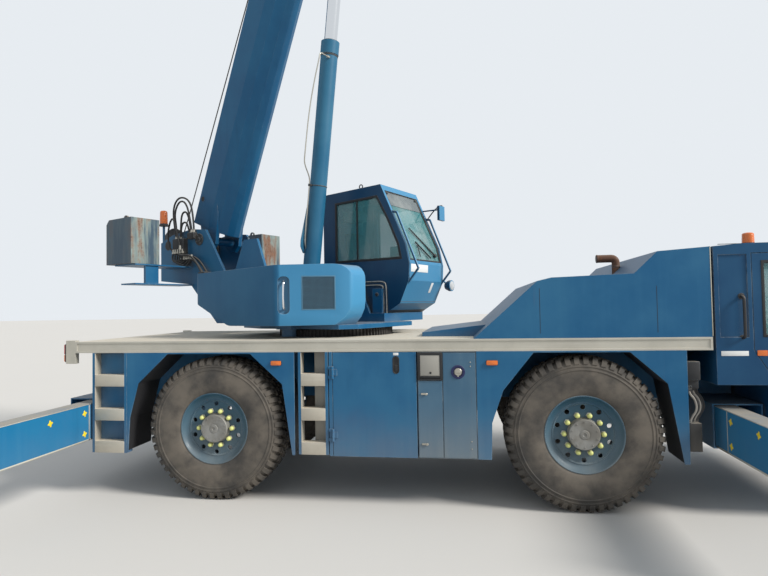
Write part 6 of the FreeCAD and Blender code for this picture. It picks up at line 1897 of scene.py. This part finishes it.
    def _weights(self) -> None:
        """Lifting eyes and plugged holes of the weights."""
        eyes = Form("weight_eyes", "upperworks", "dark_steel", UPPER_AXES)
        for y in (-1.126, 1.126):
            eyes.pipe([(-2.812, y - 0.050, 1.310), (-2.840, y - 0.045, 1.270), (-2.845, y, 1.225),
                       (-2.840, y + 0.045, 1.270), (-2.812, y + 0.050, 1.310)], 0.009)
            for offset in (-0.050, 0.050):
                eyes.disc((-2.800, y + offset, 1.310), (-1, 0, 0), 0.018, 0.014, 0.003, 20)
            for z in (0.86, 1.04):
                eyes.disc((-2.800, y + 0.13, z), (-1, 0, 0), 0.022, 0.006, 0.002, 20)
        eyes.done()

    def _slew_drive(self) -> None:
        """Bolted cover and motor of the slewing drive."""
        drive = Form("slew_motor", "upperworks", "dark_steel", UPPER_AXES)
        drive.turned([(0.082, 0), (0.104, 0), (0.104, 0.022), (0.084, 0.026), (0.080, 0.110), (0.066, 0.118),
                      (0.060, 0.215), (0.045, 0.226), (0, 0.226)], (-0.040, -0.800, 0.001), steps=36)
        for index in range(10):
            turn = math.pi / 5 * index
            drive.disc((-0.040 + 0.094 * math.cos(turn), -0.800 + 0.094 * math.sin(turn), 0.022), (0, 0, 1), 0.008,
                       0.008, 0.001, 6)
        drive.done()


@dataclass
class CraneCab:
    """Trim of the operator's cab on the turntable, inside and out."""

    side_window: Tuple[Point, ...] = ((-0.360, 0.775), (-0.360, 1.585), (0.330, 1.615), (0.500, 1.305),
                                      (0.650, 0.975), (0.690, 0.775))
    door_window: Tuple[Point, ...] = ((-0.260, 0.775), (-0.260, 1.565), (0.310, 1.565), (0.490, 1.165),
                                      (0.570, 0.775))
    screen: Tuple[Point, ...] = ((0.767, 0.760), (0.722, 0.960), (0.552, 1.330), (0.394, 1.675))

    def build(self) -> None:
        """Make each group."""
        self._windows()
        self._screen()
        self._wiper()
        self._shell()
        self._brackets()
        self._inside()

    def _form(self, name: str, finish: str, body: str = "upperworks") -> Form:
        """Start one piece of the cab."""
        return Form(name, body, finish, UPPER_AXES)

    def _windows(self) -> None:
        """Black seals of the side window and the door window, and the door's pane."""
        seal = self._form("side_window_seal", "mesh_black")
        seal.frame(self.side_window, 0.030, 0.4455, 0.4640, soft=0.003)
        seal.block((-0.006, 0.4500, 0.79), (0.012, 0.4660, 1.585), 0.002)
        seal.done()
        door_seal = self._form("crane_door_seal", "mesh_black", "crane_cab_door")
        door_seal.frame(self.door_window, 0.026, 1.330, 1.3545, soft=0.003)
        door_seal.pipe([(-0.19, 1.352, 0.60), (-0.19, 1.392, 0.60), (-0.19, 1.392, 0.72), (-0.19, 1.352, 0.72)], 0.008,
                       2)
        door_seal.done()
        pane = self._form("crane_door_pane", "window_glass", "crane_cab_door")
        pane.slab(self.door_window, 1.329, 1.334)
        pane.done()

    def _along(self, first: int, share: float, out: float) -> Point:
        """Point on the screen's side line, so far along one of its runs and so far in front of it."""
        a, b = Vector(self.screen[first]), Vector(self.screen[first + 1])
        spot = a.lerp(b, share)
        run = (b - a).normalized()
        return (spot.x + run.y * out, spot.y - run.x * out)

    def _screen(self) -> None:
        """Seals round the front panes, and the grey band across the top."""
        seal = self._form("front_screen_seal", "mesh_black")
        band = self._form("front_screen_band", "smoked_glass")
        for index in range(3):
            for y0, y1 in ((0.490, 0.520), (1.280, 1.310)):
                seal.slab([self._along(index, 0.0, 0.002), self._along(index, 1.0, 0.002),
                           self._along(index, 1.0, 0.011), self._along(index, 0.0, 0.011)], y0, y1, soft=0.002)
        bars = ((0, 0.0, 0.10), (2, 0.955, 1.0))
        for index, start, end in bars:
            seal.slab([self._along(index, start, 0.002), self._along(index, end, 0.002),
                       self._along(index, end, 0.011), self._along(index, start, 0.011)], 0.490, 1.310, soft=0.002)
        band.slab([self._along(2, 0.42, 0.0015), self._along(2, 0.96, 0.0015), self._along(2, 0.96, 0.005),
                   self._along(2, 0.42, 0.005)], 0.515, 1.285)
        for y in (0.545, 1.255):
            seal.disc((self._along(2, 0.90, 0.006)[0], y, self._along(2, 0.90, 0.006)[1]), (0.91, 0, 0.42), 0.020,
                      0.012, 0.003, 20)
        seal.done()
        band.done()

    def _wiper(self) -> None:
        """Parallel wiper arms and the blade, in front of the screen."""
        wiper = self._form("crane_wiper", "trim_plastic")
        low = self._along(0, 0.42, 0.022)
        high = self._along(1, 0.60, 0.020)
        blade_low = self._along(0, 0.25, 0.018)
        blade_high = self._along(1, 0.10, 0.018)
        for shift in (0.0, 0.035):
            wiper.pipe([(low[0], 1.150 + shift, low[1]), (high[0], 0.705 + shift * 0.4, high[1])], 0.0055, 2)
        wiper.slab([(blade_low[0], blade_low[1]), (blade_low[0] + 0.010, blade_low[1]),
                    (blade_high[0] + 0.010, blade_high[1]), (blade_high[0], blade_high[1])], 0.75, 0.765, soft=0.002)
        wiper.pipe([(blade_low[0] + 0.006, 1.02, blade_low[1]), (blade_high[0] + 0.006, 0.720, blade_high[1])], 0.010, 2)
        wiper.disc((low[0] - 0.02, 1.165, low[1]), (1, 0, 0.2), 0.024, 0.034, 0.004, 24)
        wiper.done()

    def _shell(self) -> None:
        """Blank plates on the front, lifting eye, grey skirt, lamp and mirror glass."""
        plate = self._form("front_plates", "blank_plate")
        plate.slab([(0.7895, 0.712), (0.7920, 0.712), (0.7875, 0.615), (0.7850, 0.615)], 0.500, 0.925, soft=0.0005)
        slope = Vector((0.650 - 0.780, 0.225 - 0.505)).normalized()
        out = Vector((-slope.y, slope.x))
        top, low = Vector((0.780, 0.505)) + slope * 0.02, Vector((0.780, 0.505)) + slope * 0.16
        corners = [top, low, low + out * 0.003, top + out * 0.003]
        plate.slab([(spot.x, spot.y) for spot in corners], 1.045, 1.100, soft=0.0005)
        plate.done()
        skirt = self._form("cab_skirt", "skirt_grey")
        a, b = Vector((0.660, 0.247)), Vector((0.440, 0.105))
        run = (b - a).normalized()
        push = Vector((-run.y, run.x))
        if push.x < 0:
            push = -push
        corners = [a, b, b + push * 0.004, a + push * 0.004]
        skirt.slab([(spot.x, spot.y) for spot in corners], 0.452, 1.348, soft=0.001)
        skirt.done()
        eye = self._form("cab_lifting_eyes", "dark_steel")
        for y in (0.478, 1.300):
            ring = [(0.026 + 0.007 * math.cos(t * math.pi / 5), 0.007 * math.sin(t * math.pi / 5)) for t in range(10)]
            eye.turned(ring, (0.060, y, 1.762), (0, 1, 0), 28, closed=True)
            eye.disc((0.060, y, 1.728), (0, 0, 1), 0.020, 0.014, 0.003, 20)
        eye.done()
        glass = self._form("crane_mirror_glass", "mirror_glass")
        glass.slab([(y, z) for y, z in rounded_outline(0.138, 0.188, 0.02, (1.422, 1.460))], 0.7125, 0.7155, "YZ")
        glass.done()
        arm = self._form("crane_mirror_arm", "trim_plastic")
        arm.pipe([(0.560, 1.330, 1.370), (0.640, 1.400, 1.520), (0.735, 1.440, 1.585), (0.745, 1.440, 1.560)], 0.008)
        arm.done()
        lens = self._form("work_lamp_lens", "clear_lens")
        lens.turned([(0.062, 0), (0.060, 0.006), (0.045, 0.012), (0.022, 0.016), (0, 0.017)], (0.889, 1.397, 0.455),
                    (1, 0, 0), 40)
        lens.done()

    def _brackets(self) -> None:
        """Pipes and stiffeners in the recess below the cab."""
        pipes = self._form("bracket_pipes", "fitting_steel")
        for shift in (0.0, 0.045):
            pipes.pipe([(-0.20, 0.434, 0.500 - shift), (0.30, 0.434, 0.510 - shift), (0.440 - shift, 0.434, 0.500 - shift),
                        (0.462 - shift, 0.434, 0.430), (0.462 - shift, 0.434, 0.06)], 0.0085)
        pipes.done()
        caps = self._form("bracket_bolts", "dark_steel")
        for x0, x1 in ((-0.109, 0.030), (0.276, 0.420)):
            for z in (0.07, 0.34):
                caps.disc(((x0 + x1) / 2, 0.3895, z), (0, -1, 0), 0.024, 0.014, 0.004, 24)
        caps.done()

    def _inside(self) -> None:
        """Seat with padded rests, console and monitor."""
        Seat("crane_seat", "upperworks", UPPER_AXES, 0.900, (-0.25, 0.05, 0.140, 0.425), (-0.30, 0.18, 0.435, 0.555),
             (-0.235, 0.555, -0.315, 1.215), True, ("crane_cab_interior",)).build()
        box_form = self._form("cab_monitor", "console_grey")
        box_form.block((-0.28, 0.52, 1.330), (-0.02, 0.72, 1.470), 0.015)
        box_form.block((0.40, 0.62, 0.790), (0.60, 0.82, 0.960), 0.012)
        box_form.slab([(0.44, 0.36), (0.62, 0.46), (0.66, 0.74), (0.60, 0.80), (0.46, 0.80)], 0.52, 1.26, soft=0.015)
        box_form.pipe([(-0.15, 0.62, 1.46), (-0.15, 0.62, 1.66)], 0.012, 2)
        box_form.done()


@dataclass
class LiftCylinder:
    """Seal, clamps and pipe of the lift cylinder.

    Attributes:
        barrel: radius of the tube; not used.
        length: from the base pin to the collar's end.
    """

    barrel: float = 0.108
    length: float = 3.035

    def build(self) -> None:
        """Make each group."""
        seal = Form("cylinder_seal", "lift_barrel", "dark_steel", CYLINDER_AXES)
        seal.ring((self.length, 0, 0), (1, 0, 0), 0.104, 0.084, 0.010, 48)
        seal.ring((self.length - 0.186, 0, 0), (1, 0, 0), 0.1105, 0.100, 0.020, 48)
        seal.ring((1.215, 0, 0), (1, 0, 0), 0.1115, 0.100, 0.014, 48)
        seal.block((1.205, -0.150, 0.018), (1.235, -0.095, 0.042), 0.004)
        seal.done()
        pipe = Form("cylinder_pipe", "lift_barrel", "fitting_steel", CYLINDER_AXES)
        pipe.pipe([(0.42, -0.098, 0.030), (0.46, -0.126, 0.030), (0.60, -0.138, 0.030), (1.00, -0.138, 0.030),
                   (1.24, -0.138, 0.030), (1.32, -0.145, 0.030), (1.46, -0.262, 0.030), (1.56, -0.266, 0.030),
                   (2.10, -0.266, 0.020), (2.50, -0.266, -0.030), (2.72, -0.262, -0.068), (2.80, -0.255, -0.070),
                   (2.812, -0.225, -0.070), (2.812, -0.080, -0.070)], 0.0075)
        pipe.disc((2.812, -0.078, -0.070), (0, -1, 0), 0.017, 0.040, 0.003, 6)
        pipe.disc((2.812, -0.205, -0.070), (0, -1, 0), 0.013, 0.020, 0.002, 6)
        pipe.done()
        gusset = Form("cylinder_gusset", "lift_barrel", "barrel_paint", CYLINDER_AXES)
        gusset.slab([(0.36, -0.100), (0.98, -0.100), (0.98, -0.112), (0.52, -0.182), (0.44, -0.176), (0.36, -0.120)],
                    0.050, 0.062, "XY", 0.002)
        gusset.done()


@dataclass
class BoomTrim:
    """Hoist rope of the boom, and black discs that paint the shade in its web openings.

    Attributes:
        rope: half the rope's thickness.
    """

    rope: float = 0.008

    def build(self) -> None:
        """Make each group."""
        self._rope()
        self._webs()

    def _rope(self) -> None:
        """Rope from the drum to the head, bent about the foot pin, and the lengths that pay out."""
        start, knee, end = (-0.330, -0.04, 0.842), (0.150, -0.02, 0.832), (9.700, 0, 0.459)
        form = Form("hoist_rope", "", "rope_wire", BOOM_AXES)
        spots = [Vector(start).lerp(Vector(knee), index / 6) for index in range(6)]
        spots += [Vector(knee).lerp(Vector(end), index / 24) for index in range(25)]
        form.pipe(spots, self.rope, 2, 2)
        piece = form.done()
        tuple(BOOM_AXES @ Vector(start))
        tuple(BOOM_AXES @ Vector(knee))
        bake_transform(piece)
        for index, y in ((1, -0.03), (2, 0.03), (3, 0.0)):
            run = Form(f"boom_rope_{index}", f"boom_inner_{index}", "rope_wire", BOOM_AXES)
            run.pipe([(2.75, y, 0.452), (9.66, y, 0.452)], self.rope, 2, 2)
            run.done()

    def _webs(self) -> None:
        """Black discs that paint the shade inside the round openings near the foot, seen on both webs."""
        form = Form("web_openings", "boom", "mesh_black", BOOM_AXES)
        for way in (-1, 1):
            form.disc((0.520, 0.2495 * way, 0.315), (0, way, 0), 0.036, 0.0025, 0.0008, 32)
        form.done()
        rims = Form("web_rims", "boom", "boom_paint", BOOM_AXES)
        for way in (-1, 1):
            rims.ring((0.520, 0.2495 * way, 0.315), (0, way, 0), 0.044, 0.035, 0.005)
        rims.done()


@dataclass
class Studio:
    """Floor, light and camera.

    Attributes:
        floor_half: half the floor's side.
        wall_white: colour of the background.
        sun: strength of the key light.
        fill: strength of the light from all round.
    """

    floor_half: float = 120.0
    wall_white: Colour = (0.80, 0.84, 0.88)
    floor_colour: Colour = (0.62, 0.60, 0.57)
    sun: float = 3.8
    fill: float = 0.62

    def build(self) -> None:
        """Set the stage."""
        self._floor()
        self._light()
        self._world()
        self._camera()
        bpy.context.scene.view_settings.view_transform = "Standard"

    def _floor(self) -> None:
        """Plain pale floor."""
        mesh = bpy.data.meshes.new("floor")
        half = self.floor_half
        mesh.from_pydata([(-half, -half, 0), (half, -half, 0), (half, half, 0), (-half, half, 0)], [],
                         [(0, 1, 2, 3)])
        floor = bpy.data.objects.new("floor", mesh)
        bpy.context.scene.collection.objects.link(floor)
        shader = Shader("floor")
        cloud = shader.noise(shader.place(), 0.4, 4.0)
        tone = shader.mix(cloud * 0.12, self.floor_colour, (0.5, 0.48, 0.45))
        mesh.materials.append(shader.finish(Base_Color=tone, Roughness=0.85))

    def _light(self) -> None:
        """Soft key from the front right, high up."""
        lamp = bpy.data.lights.new("key", "SUN")
        lamp.energy = self.sun
        lamp.angle = math.radians(16)
        lamp.color = (1.0, 0.97, 0.92)
        key = bpy.data.objects.new("key", lamp)
        key.rotation_euler = Vector((-0.90, 0.25, -0.62)).to_track_quat("-Z", "Y").to_euler()
        bpy.context.scene.collection.objects.link(key)

    def _world(self) -> None:
        """Even light from all round, and a pale background for the camera and for reflections."""
        world = bpy.data.worlds.new("studio")
        bpy.context.scene.world = world
        world.use_nodes = True
        nodes, links = world.node_tree.nodes, world.node_tree.links
        nodes.clear()
        out = nodes.new("ShaderNodeOutputWorld")
        path = nodes.new("ShaderNodeLightPath")
        seen = nodes.new("ShaderNodeMath")
        seen.operation = "MAXIMUM"
        mirrored = nodes.new("ShaderNodeMath")
        mirrored.operation = "MAXIMUM"
        light = nodes.new("ShaderNodeBackground")
        light.inputs["Color"].default_value = (0.88, 0.94, 1.0, 1.0)
        light.inputs["Strength"].default_value = self.fill
        back = nodes.new("ShaderNodeBackground")
        back.inputs["Color"].default_value = (*self.wall_white, 1.0)
        back.inputs["Strength"].default_value = 1.0
        blend = nodes.new("ShaderNodeMixShader")
        links.new(path.outputs["Is Camera Ray"], seen.inputs[0])
        links.new(path.outputs["Is Glossy Ray"], seen.inputs[1])
        links.new(seen.outputs[0], mirrored.inputs[0])
        links.new(path.outputs["Is Transmission Ray"], mirrored.inputs[1])
        links.new(mirrored.outputs[0], blend.inputs["Fac"])
        links.new(light.outputs[0], blend.inputs[1])
        links.new(back.outputs[0], blend.inputs[2])
        links.new(blend.outputs[0], out.inputs["Surface"])

    def _camera(self) -> None:
        """Camera at the height and angle of a person beside the carrier."""
        lens = bpy.data.cameras.new("camera")
        lens.sensor_width = 36.0
        lens.lens = 26.3
        lens.clip_end = 500.0
        camera = bpy.data.objects.new("camera", lens)
        right = Vector((0.98807, 0.15273, -0.01706))
        up = Vector((0.02198, -0.0306, 0.9993))
        back = right.cross(up)
        turn = Matrix((right, up, back)).transposed().to_4x4()
        camera.matrix_world = Matrix.Translation((1.645, -6.776, 1.968)) @ turn
        bpy.context.scene.collection.objects.link(camera)
        bpy.context.scene.camera = camera


CORNERS = ("front_right", "front_left", "rear_right", "rear_left")


def side_of(corner: str) -> Side:
    """Side of the carrier that a corner is on."""
    return Side.RIGHT if corner.endswith("right") else Side.LEFT


def main() -> None:
    """Build the looks in order."""
    logging.basicConfig(level=logging.INFO, format="%(message)s")
    dress_frame()
    for corner in CORNERS:
        Wheel(corner, side_of(corner)).build()
    for corner in CORNERS:
        OutriggerLeg(corner, side_of(corner)).build()
    CarrierTrim().build()
    DriverCab().build()
    UpperWorks().build()
    CraneCab().build()
    LiftCylinder().build()
    BoomTrim().build()
    Studio().build()


if __name__ == "__main__":
    main()
